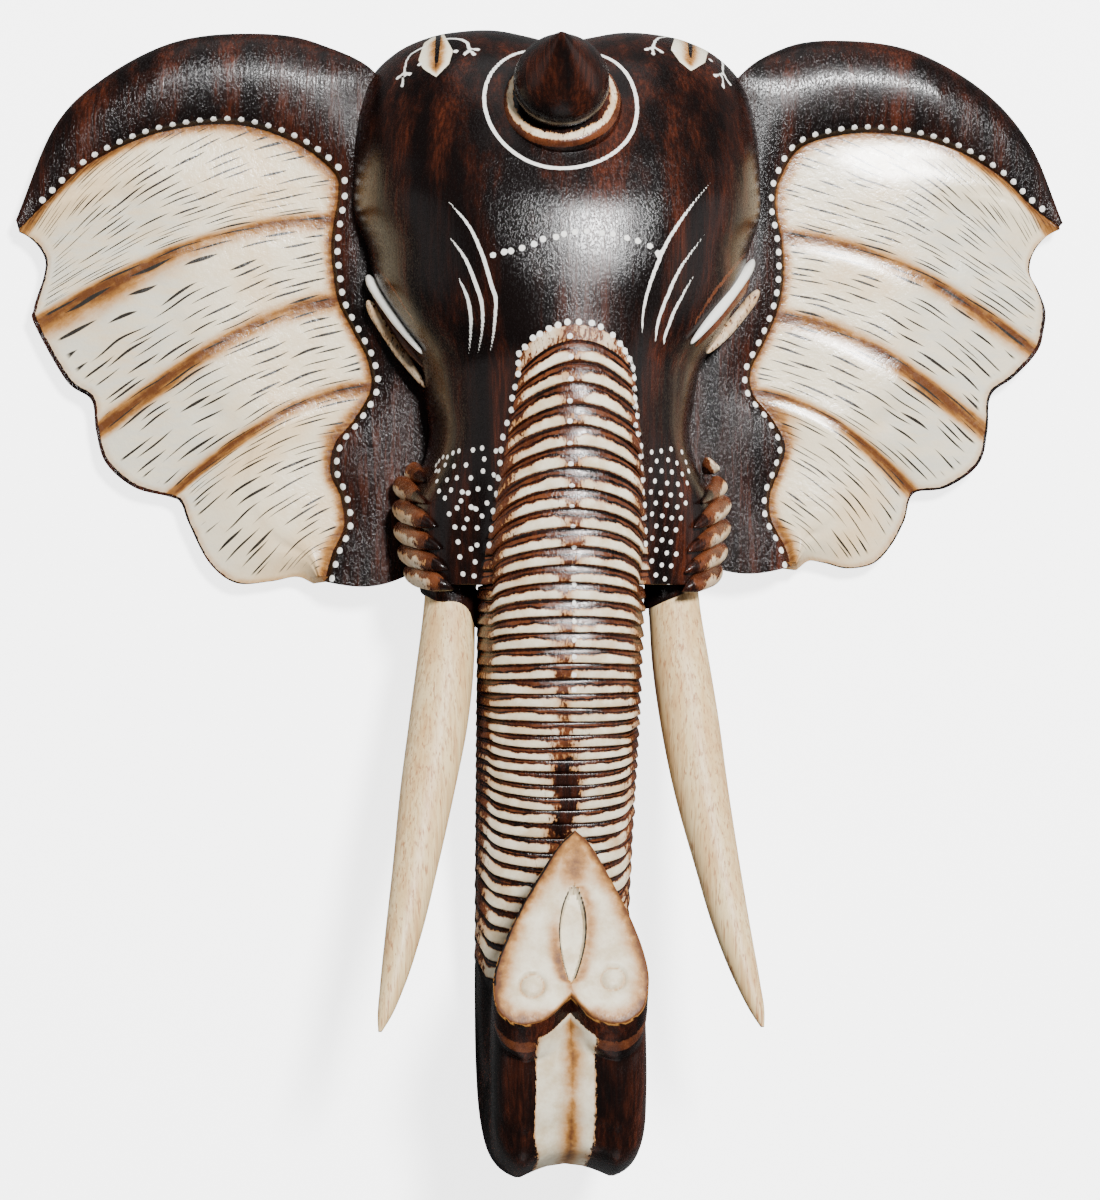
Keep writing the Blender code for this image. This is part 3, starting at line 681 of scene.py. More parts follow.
# %% Rib lines, their arch and their relief
RIB_COUNT = 39
RIB_RELIEF = 1.5
RIB_LIP = 0.8
RIB_LINES = [(0, -107.0), (10, -19.4), (20, 49.5), (29, 100.3), (39, 168.8)]
RIB_ARCH = [(-315.5, 0.0), (-185, 0.0), (-150, 8.0), (-125, 17.0), (-107, 19.0), (-83, 17.0), (-61, 15.0),
            (-40, 13.0), (-12.4, 8.4), (20, 2.2), (42, 0.0), (63, -3.5), (90, -7.0), (150, -7.0),
            (186, 0.0), (312, 0.0)]
SIDE_LIFT = [(-315.5, 0), (-4, 0), (60, 1.5), (115, 6), (150, 10), (175, 13), (186, 13), (206, 0), (312, 0)]
PANEL_HALF = [(-125, -9.0), (-115, -1.0), (-113.5, 8.0), (-111, 14.0), (-107, 19.0), (-97, 24.0),
              (-83, 26.5), (-50, 31.0), (-20, 35.0), (-4, 37.0)]
HEAD_MIDDLE_Z = 40
RIB_STEPS = np.array([0.0, 0.05, 0.12, 0.20, 0.27, 0.33, 0.38, 0.44, 0.53, 0.64, 0.75, 0.85, 0.93])
groove_lines = pairs(RIB_LINES, np.arange(RIB_COUNT + 1))
JOINT_RIB = 11


def rib_profile(phase):
    """Height of a rib from its cut (phase 0) up to its lip and down to the next cut (phase 1)."""
    rise = np.clip(phase / RIB_LIP, 0, 1) ** 0.75
    drop = 1 - ramp(phase, 0.82, 1.0)
    return rise * drop - 0.5


def panel_inside(place, across):
    """How far inside the ribbed panel's edge a point is, in millimetres: panel half width less its x."""
    return pairs(PANEL_HALF, place) - np.abs(across)


def carved(down, column, phase, rib, on_trunk):
    """Point of the carving for a grid of rows and signed columns: the row is bent by the arch, looked up on
    the head or the trunk, and moved outward by the rib relief. Returns points, bent rows and rib weights."""
    down, column, phase, rib = np.broadcast_arrays(down, column, phase, rib)
    size = np.abs(column)
    arch = pairs(RIB_ARCH, down) * np.clip(size / 2.6, 0, 1) ** 2
    shake = 0.5 * ripple(column * 1.3, rib * 2.1, 4) * np.clip(1 - np.abs(phase - 0.5), 0, 1)
    shake = np.where(rib >= 0, shake, 0.0)
    place = down + arch + shake * np.clip((4.5 - size) / 2, 0, 1)
    place = place - pairs(SIDE_LIFT, down) * np.clip((size - 2.6) / 1.5, 0, 1)
    point = head_surface(np.minimum(place, CHEEK_BASE), size)
    centre = np.stack([size * 0, point[..., 1], size * 0 + HEAD_MIDDLE_Z], axis=-1)
    if on_trunk:
        trunk_place = np.maximum(place, CHEEK_BASE)
        use_trunk = ((place > CHEEK_BASE + 1e-6) | (size > 3))[..., None]
        middle = 0.5 * (trunk_surface(trunk_place, size * 0) + trunk_surface(trunk_place, size * 0 + 8))
        point = np.where(use_trunk, trunk_surface(trunk_place, size), point)
        centre = np.where(use_trunk, middle, centre)
    edge = panel_inside(place, point[..., 0])
    weight = np.where(place < CHEEK_BASE, ramp(edge, -1.0, 1.2), np.clip((5.0 - size) / 0.9, 0, 1))
    weight = np.where(rib >= 0, weight, 0.0)
    away = point - centre
    away = away / np.linalg.norm(away, axis=-1)[..., None]
    uneven = 1 + 0.25 * ripple(column * 2.0, rib * 3.0, 9)
    point = point + away * (rib_profile(phase) * RIB_RELIEF * uneven * weight)[..., None]
    point[..., 0] *= np.sign(column)
    drift = pairs(TRUNK_SHIFT, place)
    if not on_trunk:
        blend = np.clip((size - 3) / 2, 0, 1)
        blend = np.maximum(blend, ramp(-place, 95, 120))
        drift = drift * (1 - blend) + HEAD_SHIFT * blend
    point[..., 0] += drift
    return point, place, weight


def rib_rows(first, last):
    """Rows, phases and rib numbers for the ribs first..last, with the steps of one rib repeated."""
    down = []
    for k in range(first, last):
        down.append(groove_lines[k] + (groove_lines[k + 1] - groove_lines[k]) * RIB_STEPS)
    count = last - first
    return np.concatenate(down), np.tile(RIB_STEPS, count), np.repeat(np.arange(first, last), len(RIB_STEPS))


print("ribs:", RIB_COUNT, "first cuts at", np.round(groove_lines[:4], 1))

# %% [markdown]
# ## The head
# Skull, brow and the first eleven ribs are one grid, wrapped from one back edge over the face to the other.
# The picture doesn't show the back. It is made flat, so that the mask can hang on a wall, with a scooped
# hollow such as makes a carved mask light and keeps the wood from splitting as it dries. A boolean could cut
# the hollow, but a bowl with its own grid keeps the mesh closed and even.

# %% Head grid
HEAD_COLUMNS = [14, 14, 12, 13, 14, 16, 20, 14]
FAN_ROWS = 110
BROW_ROWS = 80


def signed_columns(counts):
    """Column numbers -8..8, with the given number of steps in each whole column."""
    half = np.concatenate([k + np.arange(n) / n for k, n in enumerate(counts)] + [[len(counts)]])
    return np.concatenate([-half[:0:-1], half])


columns = signed_columns(HEAD_COLUMNS)
down, phase, rib = rib_rows(0, JOINT_RIB)
crown_rows = np.linspace(HEAD_KNOTS[0], -FAN_CENTRE, FAN_ROWS, endpoint=False)
brow_rows = np.linspace(-FAN_CENTRE, groove_lines[0], BROW_ROWS, endpoint=False)
plain = len(crown_rows) + len(brow_rows)
down = np.concatenate([crown_rows, brow_rows, down, [groove_lines[JOINT_RIB]]])
phase = np.concatenate([np.zeros(plain), phase, [0.0]])
rib = np.concatenate([np.full(plain, -1.0), rib, [JOINT_RIB]])
skin, place, rib_weight = carved(down[:, None], columns[None, :], phase[:, None], rib[:, None], False)
skin[:FAN_ROWS, [0, -1]] = skin[FAN_ROWS, [0, -1]]
print("head grid:", skin.shape)

# %% [markdown]
# ## Cream on the ribs
# The ribs are dry brushed: the cream catches on the lower half of each shingle and misses the cut above it,
# which stays brown. One flat stripe for each rib would look printed, so its upper edge wanders, and the cream
# wears thin on the middle line and at the ends, where hands and the rubbing cloth took it off.

# %% Paint on the ribs
CREAM_STARTS = [(0, 0.44), (16, 0.42), (24, 0.36), (32, 0.30), (39, 0.26)]
PANEL_MIDDLE = 3.0
PANEL_TOP = -125


def rib_paint(phase, rib, weight, x, ends):
    """Cream on the lower half of each rib, less at the ends and the middle line, a brown band above it, and
    a black line between the two. The cream's upper edge wanders by hand."""
    uneven = ripple(x / 4, rib * 2.3, 41)
    start = pairs(CREAM_STARTS, rib) + 0.06 * uneven + 0.05 * ripple(x * 1.1, rib * 3.1, 42)
    band = ramp(phase, start - 0.20, start + 0.14) * (1 - ramp(phase, 0.86, 0.98)) * weight
    middle = 0.42 * np.exp(-((x + 0.8 * uneven) / 4.0) ** 2) + 0.16 * np.exp(-(x / 10) ** 2)
    blot = 0.20 * ripple(x / 2.5, rib * 1.7, 43)
    cream = band * (0.96 + blot - 0.66 * ends - middle)
    line = np.exp(-((phase - start + 0.13) / 0.05) ** 2)
    stain = weight * ramp(phase, 0.02, 0.10) * (1 - ramp(phase, 0.92, 0.98))
    stain = stain * (0.66 + 0.1 * ends + 0.2 * middle)
    return cream, stain * (1 - 0.8 * line)


panel_x = skin[..., 0] - PANEL_MIDDLE
panel_share = np.abs(panel_x) / pairs(PANEL_HALF, place)
fade_from = np.where(panel_x < 0, 0.56, 0.76)
head_cream, head_stain = rib_paint(phase[:, None], rib[:, None], rib_weight, panel_x,
                                   ramp(panel_share, fade_from, 1.0))
above_ribs = (rib[:, None] < 0) & (place > PANEL_TOP)
top_zone = ramp(panel_inside(place, panel_x), -1.5, 1.0) * above_ribs
head_cream = np.maximum(head_cream, top_zone * (0.52 + 0.1 * ripple(skin[..., 0] / 3, place / 3, 44)))
head_stain = np.maximum(head_stain, 0.8 * top_zone)
print("share of the head's points with cream:", round(float((head_cream > 0.5).mean()), 2))

# %% Head base and hollow
HOLLOW_DEPTH = 50.0
HOLLOW_LEVELS = 70
HOLLOW_TURNS = 48
HOLLOW_ROWS = [(222.5, 0, 0.0), (221, 16, 0.25), (217, 34, 0.52), (208, 48, 0.76), (194, 56, 0.93),
               (176, 59, 1.0), (156, 55, 1.0), (134, 44, 0.97), (112, 33, 0.92), (90, 26, 0.86),
               (68, 24, 0.8), (48, 22, 0.68), (36, 17, 0.5), (30, 9, 0.25), (28.5, 0, 0.0)]
BASE_CENTRE = np.array([2.0, 6.0, 46.0])


def hollow_surface(level, turn):
    """Scooped half rounds: at each level y the section is half an ellipse, as wide and deep as the table."""
    rows = np.asarray(HOLLOW_ROWS, float)[::-1]
    half = np.clip(pairs(rows[:, :2], level), 0, None)
    deep = np.clip(pairs(rows[:, [0, 2]], level), 0, None) * HOLLOW_DEPTH
    level, turn = np.broadcast_arrays(level, turn)
    return np.stack([HEAD_SHIFT - half * np.cos(turn), level, deep * np.sin(turn)], axis=-1)


middle_level = (HOLLOW_ROWS[0][0] + HOLLOW_ROWS[-1][0]) / 2
half_length = (HOLLOW_ROWS[0][0] - HOLLOW_ROWS[-1][0]) / 2
levels = middle_level + half_length * np.cos(np.linspace(0, math.pi, HOLLOW_LEVELS))
bowl = hollow_surface(levels[:, None], np.linspace(0, math.pi, HOLLOW_TURNS)[None, :])
bottom = skin[-1]
rim_line = np.linspace(bottom[-1], bottom[0], 42)[1:-1]
base_loop = np.concatenate([bottom, rim_line])
shrink = np.linspace(1, 0, 9)[:, None, None]
base = BASE_CENTRE + (base_loop - BASE_CENTRE) * shrink
print("hollow grid:", bowl.shape, "base grid:", base.shape)

# %% Flat back round the hollow
def fill_flat(outer, inner):
    """Triangles between two closed loops that lie in one plane, without those inside the inner loop."""
    corners = [Vector(point[:2]) for point in np.concatenate([outer, inner])]
    turns = [(k, (k + 1) % len(outer)) for k in range(len(outer))]
    turns += [(len(outer) + k, len(outer) + (k + 1) % len(inner)) for k in range(len(inner))]
    found = delaunay_2d_cdt(corners, turns, [], 1, 1e-4)
    places = np.array([tuple(corner) for corner in found[0]])
    faces = np.array(found[2])
    middle = places[faces].mean(axis=1)
    half = np.interp(middle[:, 1], levels[::-1], np.abs(bowl[::-1, 0, 0] - HEAD_SHIFT))
    kept = faces[np.abs(middle[:, 0] - HEAD_SHIFT) > half]
    return [[found[3][corner][0] for corner in face] for face in kept]


outer_loop = np.concatenate([skin[0, ::-1], skin[1:, 0], rim_line[::-1], skin[:0:-1, -1]])
hollow_rim = np.concatenate([bowl[:, 0], bowl[-2:0:-1, -1]])
outer_loop[:, 2] = 0.0
back = np.concatenate([outer_loop, hollow_rim])
print("back loops:", len(outer_loop), len(hollow_rim))

# %% [markdown]
# ## Marks painted on the head
# White dots are set with the end of a stick: an arc on the forehead, a border round the ribbed panel and a
# cloud on each cheek. Strokes, a ring round the knob and two small geckos are drawn with a brush. Dots placed
# by chance would look wrong to anyone who knows the mask, so each is placed by where it shows in the picture.

# %% Places of the head's painted marks
DOT_RADIUS = 1.45
SMALL_DOT_RADIUS = 1.3
CHEEK_DOT_RADIUS = 1.15
FOREHEAD_ARC = [(493, 255), (504, 252), (511, 251), (522, 248), (534, 244), (543, 239), (556, 237),
                (564, 234), (575, 232), (587, 231), (602, 233), (613, 234), (627, 238), (638, 241),
                (650, 246), (658, 253)]
PANEL_BORDER = [(489, 545), (491, 529), (493, 511), (496, 494), (498, 478), (500, 463), (501, 450),
                (503, 437), (507, 423), (511, 410), (512, 398), (515, 387), (518, 374), (518.5, 363),
                (519, 353.5), (525, 347), (533, 338), (540, 334), (549, 328.5), (558, 325), (567.5, 322),
                (579, 322), (592, 323), (601, 327), (613, 335), (620, 343.5), (625, 351), (629.5, 359),
                (633, 368), (634, 378), (635, 389), (635, 398), (636, 406.5), (637, 416), (636, 425),
                (638, 434), (641, 446), (641, 456), (642, 468), (643, 480), (644, 492), (645, 505),
                (645, 518), (646, 531), (646, 544)]
BROW_STROKES = [
    [(449, 202), (469, 226), (482, 254), (492, 287), (496, 302), (493.5, 333), (490, 353.5)],
    [(449, 236), (464, 256.5), (474, 279.5), (482, 305), (482, 330), (478, 353.5)],
    [(459, 278), (468, 300), (471, 323), (469, 353.5)],
    [(711.6, 181), (686, 213), (668, 241), (655.5, 269), (645, 302), (641.5, 334)],
    [(705, 234), (681, 267), (666, 300), (658, 323), (655.5, 343)],
    [(695, 273), (676, 308), (666, 333), (664, 344.5)],
]
CENTRE_DOTS = [(570, 336), (571, 356.5), (571, 379), (570, 401), (570, 421), (570, 443.5), (571, 464),
               (572, 486), (572, 507), (573, 527), (574, 547), (574, 566), (574, 585), (574, 603),
               (574, 621), (574, 640), (574, 657), (574, 675), (574, 690)]
RUBBED_LINES = [[(374, 264), (388, 282), (402, 303), (414, 322)],
                [(752, 246), (734, 268), (712, 296), (693, 327)]]
print("brow strokes:", len(BROW_STROKES), "border dots:", len(PANEL_BORDER))

# %% Strokes, geckos and the ring
def smooth_path(path, count):
    """A curve with count places through the given ones, spaced by their number."""
    path = np.asarray(path, float)
    return smooth(np.arange(len(path)), path, np.linspace(0, len(path) - 1, count))


def tapered(path, width, tip=0.25):
    """Half widths of a stroke that is thin at both ends."""
    share = np.linspace(0, 1, len(path))
    return width * (tip + (1 - tip) * np.sin(math.pi * share) ** 0.6)


LIZARDS = [
    {"body": [(442, 31), (424, 43), (418.5, 60), (423, 68.5), (436, 77), (449, 64), (453, 51), (447, 40)],
     "core": [(436, 32), (441.5, 31), (438.5, 60), (436.5, 74), (434.5, 60)],
     "legs": [[(425, 46), (415, 51.5), (406.5, 60), (404.5, 72)],
              [(446, 38.5), (458.6, 39), (467, 42.7), (469.3, 49)]],
     "toes": [[(397.5, 78), (402.3, 85.5), (410.5, 74.5)], [(465, 54), (473.8, 54.3), (478, 49.3)]],
     "spots": [(419.8, 64.5), (455.8, 51.4)]},
    {"body": [(677, 30), (671, 49.5), (680, 62), (691, 71), (705, 62.5), (708, 51.5), (703, 33), (690, 28)],
     "core": [(687, 29), (693, 29), (692.5, 52), (690.5, 66), (688.5, 52)],
     "legs": [[(676, 37), (665, 36.4), (656, 40), (653, 47)],
              [(704, 42), (713, 49), (722, 59), (723, 73)]],
     "toes": [[(646, 49.6), (653.4, 54), (662, 51.6)], [(715, 75.5), (723.3, 87), (730, 84)]],
     "spots": [(674.4, 51), (711, 60)]},
]
KNOB_AXIS = Vector((-0.09, 0.5, 0.86)).normalized()
KNOB_PLACE = np.array([-0.4, 211.3, 73.0])
RING_RADIUS = 33.0
RING_HALF_WIDTH = 0.8
PIXELS_PER_MM = 2.3


def inside_outline(seen, corners):
    """How far inside a convex outline in the picture each point shows, in millimetres: the least distance to
    the lines of its sides."""
    corners = np.asarray(corners, float)
    side = np.roll(corners, -1, axis=0) - corners
    inward = np.stack([side[:, 1], -side[:, 0]], axis=-1) / np.linalg.norm(side, axis=1)[:, None]
    inward = inward * np.sign(((corners.mean(axis=0) - corners) * inward).sum(axis=1))[:, None]
    gaps = ((seen[:, None] - corners[None]) * inward[None]).sum(axis=-1)
    return gaps.min(axis=1) / PIXELS_PER_MM


def lizard_limbs(points, plan):
    """White strokes: two legs with three toes each, and two spots beside the body."""
    white = dots(on_surface(points, plan["spots"]), SMALL_DOT_RADIUS)
    for leg, toes in zip(plan["legs"], plan["toes"]):
        white.append((on_surface(points, smooth_path(leg, 12)), np.full(12, 0.8)))
        for toe in toes:
            white.append((on_surface(points, smooth_path([leg[-1], toe], 5)), np.linspace(0.4, 1.05, 5)))
    return white


print("geckos:", len(LIZARDS), "ring radius:", RING_RADIUS, "mm")

# %% Cheek dots
LEFT_CHEEK_DOTS = [(503, 438), (453, 453), (459, 451), (473, 450), (482, 448), (496, 451), (443, 457),
                   (447, 457), (439, 461), (436, 465), (445, 465), (436, 471), (439, 471), (454, 466),
                   (466, 465), (484, 459), (437, 481), (447, 480), (457, 478), (471, 478), (483, 471),
                   (494, 475), (439, 491), (451, 490), (462, 492), (468, 493), (478, 489), (490, 488),
                   (445, 498), (461, 501), (487, 503), (457, 508), (471, 507), (476, 509), (449, 514),
                   (467, 519), (482, 516), (455, 527), (464, 528), (477, 528), (458, 542), (477, 545),
                   (471, 549), (460, 557), (475, 562), (463, 574), (474, 576), (463, 589), (474, 587),
                   (455, 592)]
RIGHT_CHEEK_DOTS = [(652, 452), (661, 451), (671, 449), (682, 452), (657, 461), (668, 460), (677, 463),
                    (686, 462), (651, 470), (662, 471), (672, 472), (682, 474), (689, 471), (655, 481),
                    (667, 483), (678, 484), (687, 483), (651, 492), (661, 493), (671, 495), (681, 495),
                    (656, 503), (667, 505), (677, 507), (686, 503), (652, 514), (662, 516), (672, 518),
                    (681, 518), (656, 526), (666, 529), (676, 530), (652, 538), (662, 540), (671, 542),
                    (656, 550), (667, 553), (676, 554), (652, 561), (662, 565), (671, 566), (656, 575),
                    (665, 579), (652, 588), (660, 592), (668, 586)]
print("cheek dots:", len(LEFT_CHEEK_DOTS), "and", len(RIGHT_CHEEK_DOTS))

# %% Painting the head
JOINT_PICTURE_Y = 550
JOINT_OVERLAP = 10
FACING_Z = 30
front = flat_rows(skin)
facing = front[front[:, 2] > FACING_Z]
white_marks = dots(on_surface(front, FOREHEAD_ARC + PANEL_BORDER), DOT_RADIUS)
white_marks += dots(on_surface(front, LEFT_CHEEK_DOTS + RIGHT_CHEEK_DOTS), CHEEK_DOT_RADIUS)
above_joint = [spot for spot in CENTRE_DOTS if spot[1] < JOINT_PICTURE_Y + JOINT_OVERLAP]
white_marks += dots(on_surface(front, above_joint), SMALL_DOT_RADIUS)
for stroke in BROW_STROKES:
    path = on_surface(front, smooth_path(stroke, 24))
    white_marks.append((path, tapered(path, 0.95)))
tan = np.full(len(front), BARE)
core = np.full(len(front), BARE)
seen = picture_place(front)
# rows beyond the crown's edge, which the camera doesn't see, get no gecko
top_row = seen[:, 1].reshape(skin.shape[:2]).argmin(axis=0)
hidden = (np.arange(len(skin))[:, None] < top_row).ravel()
for plan in LIZARDS:
    white_marks += lizard_limbs(front, plan)
    tan = np.maximum(tan, np.where(hidden, BARE, inside_outline(seen, plan["body"])))
    core = np.maximum(core, np.where(hidden, BARE, inside_outline(seen, plan["core"])))
from_axis = front - KNOB_PLACE
along_axis = from_axis @ np.array(KNOB_AXIS)
axis_gap = np.linalg.norm(from_axis - along_axis[:, None] * np.array(KNOB_AXIS), axis=1)
ring_wander = 0.5 * ripple(front[:, 0] / 9, front[:, 1] / 9, 21)
ring = RING_HALF_WIDTH - np.abs(axis_gap - RING_RADIUS - ring_wander)
ring = np.where(along_axis > -40, ring, BARE)
rub_marks = []
for places in RUBBED_LINES:
    path = on_surface(facing, smooth_path(places, 24))
    rub_marks.append((path, tapered(path, 1.1)))
rubbed_in = paint_marks(front, rub_marks).reshape(head_stain.shape)
head_stain = np.maximum(head_stain, 0.85 * ramp(rubbed_in, -0.5, 0.4))
head_paint = {
    "white": np.maximum(paint_marks(front, white_marks), ring),
    "tan": tan,
    "core": core,
    "smoke_and_shade": 1.1 * ramp(core, -5.5, 0.5) * ramp(tan, 0.1, 2.4),
    "cream": head_cream,
    "stain": head_stain,
}
print("marks on the head:", len(white_marks))

# %% Head mesh
points, faces = join_grids([skin, base, bowl], (False, True, False))
faces.extend([[corner + len(points) for corner in face] for face in fill_flat(outer_loop, hollow_rim)])
points = np.concatenate([points, back])
fields = paint_over([skin, base, bowl, back], [head_paint, {}, {}, {}])
mesh_piece("skull", points, faces, fields, lacquer, ["head"])

# %% [markdown]
# ## The trunk
# The trunk is its own grid from the twelfth rib down. Its rows run round the whole trunk, follow the cuts of
# the ribs, pass the turn at the floor, and end at the rim of the heart-shaped tip. One grid for the head and
# the trunk would need a pole where they part, so the two meet in the cut between two ribs instead.

# %% Trunk grid
TRUNK_COLUMNS = [16, 13, 8, 13, 12, 9, 6, 6]
TRUNK_HALF = 34.5
HOOK_ROWS = 96
columns = signed_columns(TRUNK_COLUMNS)
down, phase, rib = rib_rows(JOINT_RIB, RIB_COUNT)
hook_rows = np.linspace(groove_lines[RIB_COUNT], TIP_DOWN, HOOK_ROWS)
down = np.concatenate([down, hook_rows])
phase = np.concatenate([phase, np.zeros(HOOK_ROWS)])
rib = np.concatenate([rib, [RIB_COUNT], np.full(HOOK_ROWS - 1, -1.0)])
trunk_skin, place, rib_weight = carved(down[:, None], columns[None, :], phase[:, None], rib[:, None], True)
trunk_cream, trunk_stain = rib_paint(phase[:, None], rib[:, None], rib_weight, trunk_skin[..., 0],
                                     ramp(np.abs(trunk_skin[..., 0]) / TRUNK_HALF, 0.76, 1.0))
plug_middle = trunk_skin[0].mean(axis=0)
plug_share = np.linspace(0, 1, 6)
plug = plug_middle + (trunk_skin[0] - plug_middle) * plug_share[:, None, None]
plug[:, :, 1] += 6 * (1 - plug_share[:, None])
print("trunk grid:", trunk_skin.shape)

# %% [markdown]
# ## The heart-shaped tip
# The trunk's end is cut flat to the shape of a heart that leans a little to the left, with an almond slot
# down its middle and a round nostril pressed into each lobe. Booleans could cut them, but the face is a grid
# that runs from the heart's rim inward, so the rim stays crisp and the marks are pressed in by formula.

# %% The tip's outline
HEART_OUTLINE = [(0, 0, 0), (1, 6.8, 7), (2, 14.6, 20.5), (3, 23.6, 38.3), (4, 30.4, 56), (5, 32.8, 70),
                 (6, 29.6, 82.2), (7, 18.5, 87.6), (7.6, 8, 84), (8, 0, 75.5)]
TIP_APEX = np.array([0.0, -101.0, 86.5])
TIP_ALONG = np.array([0.0, -0.893, 0.449])
TIP_OUT = np.array([0.0, 0.449, 0.893])
TIP_LENGTH = 87.9


def heart_lean(share):
    """The heart leans: its middle line drifts to the left from the apex down to the notch."""
    return 4.0 - 6.4 * share


def heart_rim(column):
    """The heart's outline by column: half width and distance from the apex, laid in the tip's plane."""
    rows = np.asarray(HEART_OUTLINE, float)
    half, reach = np.moveaxis(smooth(rows[:, 0], rows[:, 1:], np.abs(column)), -1, 0)
    across = half * np.sign(column) + heart_lean(reach / TIP_LENGTH)
    return TIP_APEX + reach[:, None] * TIP_ALONG + across[:, None] * np.array([1.0, 0.0, 0.0])


def toward_heart(grid, down, column):
    """Blends the last trunk rows into the heart: its outline slides back along the trunk's middle line."""
    rows = np.asarray(TRUNK_ROWS, float)
    got = smooth(rows[:, 0], rows[:, 1:5], down)
    middle = np.stack([0 * down, (got[:, 0] + got[:, 2]) / 2, (got[:, 1] + got[:, 3]) / 2], axis=-1)
    goal = heart_rim(column)[None, :] + (middle - middle[-1])[:, None]
    weight = ramp(down, HEART_START, TIP_DOWN - 5)[:, None, None]
    return grid * (1 - weight) + goal * weight


trunk_skin = toward_heart(trunk_skin, down, columns)
rim = trunk_skin[-1]
print("heart: width", round(float(np.ptp(rim[:, 0])), 1), "mm")

# %% The tip's face
SLOT_SHARES = (0.295, 0.80)
SLOT_HALF = 5.5
SLOT_DEPTH = 3.4
NOSTRILS = [(-16.5, 0.805), (17.4, 0.773)]
NOSTRIL_RADIUS = 5.0


def slot_half_width(share):
    """Almond shape: the slot's half width is a sine of the place between its ends, blunter on top."""
    low, high = SLOT_SHARES
    part = np.clip((share - low) / (high - low), 0, 1)
    return SLOT_HALF * np.sin(math.pi * part ** 0.85) ** 0.8


def nostril_gaps(x, share):
    """Distance of each point of the tip's face from the middle of each nostril."""
    return [np.hypot(x - middle, (share - place) * TIP_LENGTH) for middle, place in NOSTRILS]


def tip_surface(rim, reach):
    """Face of the tip: straight from the rim to the slot's middle line, crowned a little, with the almond
    slot and two round nostrils pressed in by the distance to their outlines."""
    share = np.clip((rim - TIP_APEX) @ TIP_ALONG / TIP_LENGTH, *SLOT_SHARES)
    goal = TIP_APEX + share[:, None] * TIP_LENGTH * TIP_ALONG
    goal[:, 0] = heart_lean(share)
    spot = rim + (goal - rim) * reach
    at = (spot - TIP_APEX) @ TIP_ALONG / TIP_LENGTH
    x = spot[..., 0] - heart_lean(at)
    crown = 1.4 * np.clip(np.sin(math.pi * np.clip(reach[..., 0], 0, 0.5)), 0, 1) ** 0.6
    slot = slot_half_width(at) - np.abs(x) - 3.0 * (1 - ramp(slot_half_width(at), 0.0, 1.2))
    depth = SLOT_DEPTH * ramp(slot, -0.2, 1.0)
    dish = 0.0
    for gap in nostril_gaps(x, at):
        dish = dish + 1.5 * np.exp(-((gap - NOSTRIL_RADIUS) / 0.9) ** 2) - 0.5 * np.exp(-(gap / 3.2) ** 2)
    return spot + (crown - depth - dish)[..., None] * TIP_OUT, slot, at, x


reach = np.concatenate([[0.0, 0.012, 0.03], np.linspace(0.055, 1.0, 56)])[:, None, None]
tip_face, slot_inside, tip_share, tip_x = tip_surface(rim, reach)
rim_gap = np.linalg.norm(tip_face - rim[None], axis=-1)
print("tip grid:", tip_face.shape)

# %% [markdown]
# ## Smoke, painted shade and cream on the tip and the trunk's front
# The cream on the tip is browned along its rim and round the slot, as if held over a flame, and a cream
# stripe with a dark middle line runs down the front below the tip. A darker band on the lobes' lower edge
# is painted shade on their rounded underside, and a thin ring round each nostril is painted shade in its
# groove. Soft bell curves of the distance to those lines give the smoke and the painted shade, and slow
# ripples keep the bands from looking drawn with a ruler.

# %% Paint on the tip
tip_cream = 1.6 * ramp(rim_gap, 0.3, 1.0)
edge_smoke = 1.1 * np.exp(-(rim_gap / (7.6 + 1.8 * ripple(tip_share * 22, tip_x / 7, 18))) ** 2)
edge_smoke = edge_smoke + 0.4 * np.exp(-(rim_gap / 1.8) ** 2)
over_slot = np.exp(-(tip_x / 9.0) ** 2) * ramp(-tip_share, -0.42, -0.20)
beside_slot = 1.15 * np.exp(-((slot_inside + 2.0) / 3.8) ** 2)
beside_slot = beside_slot * np.where(tip_x < 0, ramp(tip_share, 0.30, 0.7), 0.75)
# painted shade: a darker band along the lobes' lower edge, on their rounded underside
lobe_underside_shade = 1.15 * ramp(tip_share + 0.012 * ripple(tip_x / 4, tip_share * 9, 15), 0.88, 0.97)
# painted shade: a thin brown ring in the pressed groove round each nostril
nostril_shade = 0 * tip_x
for gap in nostril_gaps(tip_x, tip_share):
    nostril_shade = nostril_shade + 0.55 * np.exp(-((gap - NOSTRIL_RADIUS) / 0.7) ** 2)
# the tip's smoke numbers also carry the painted shade of the lobes and the nostrils
tip_smoke_and_shade = np.maximum.reduce([edge_smoke, over_slot, beside_slot, lobe_underside_shade, nostril_shade])
tip_smoke_and_shade = tip_smoke_and_shade * (1 - ramp(slot_inside, -0.4, 0.2))
tip_core = np.where(slot_half_width(tip_share) > 0.8, 0.35 - np.abs(slot_inside + 0.1), BARE)
left_wall = 1.2 - rim_gap + 0.2 * ripple(tip_share * 40, 0 * tip_share, 17)
left_wall = np.where((columns < 0)[None, :], left_wall, BARE)
tip_core = np.maximum(tip_core, np.minimum(left_wall, (SLOT_SHARES[1] - tip_share) * 60))
tip_paint = {"core": tip_core, "smoke_and_shade": tip_smoke_and_shade, "cream": tip_cream}
print("smoke on the tip: up to", round(float(tip_smoke_and_shade.max()), 2))

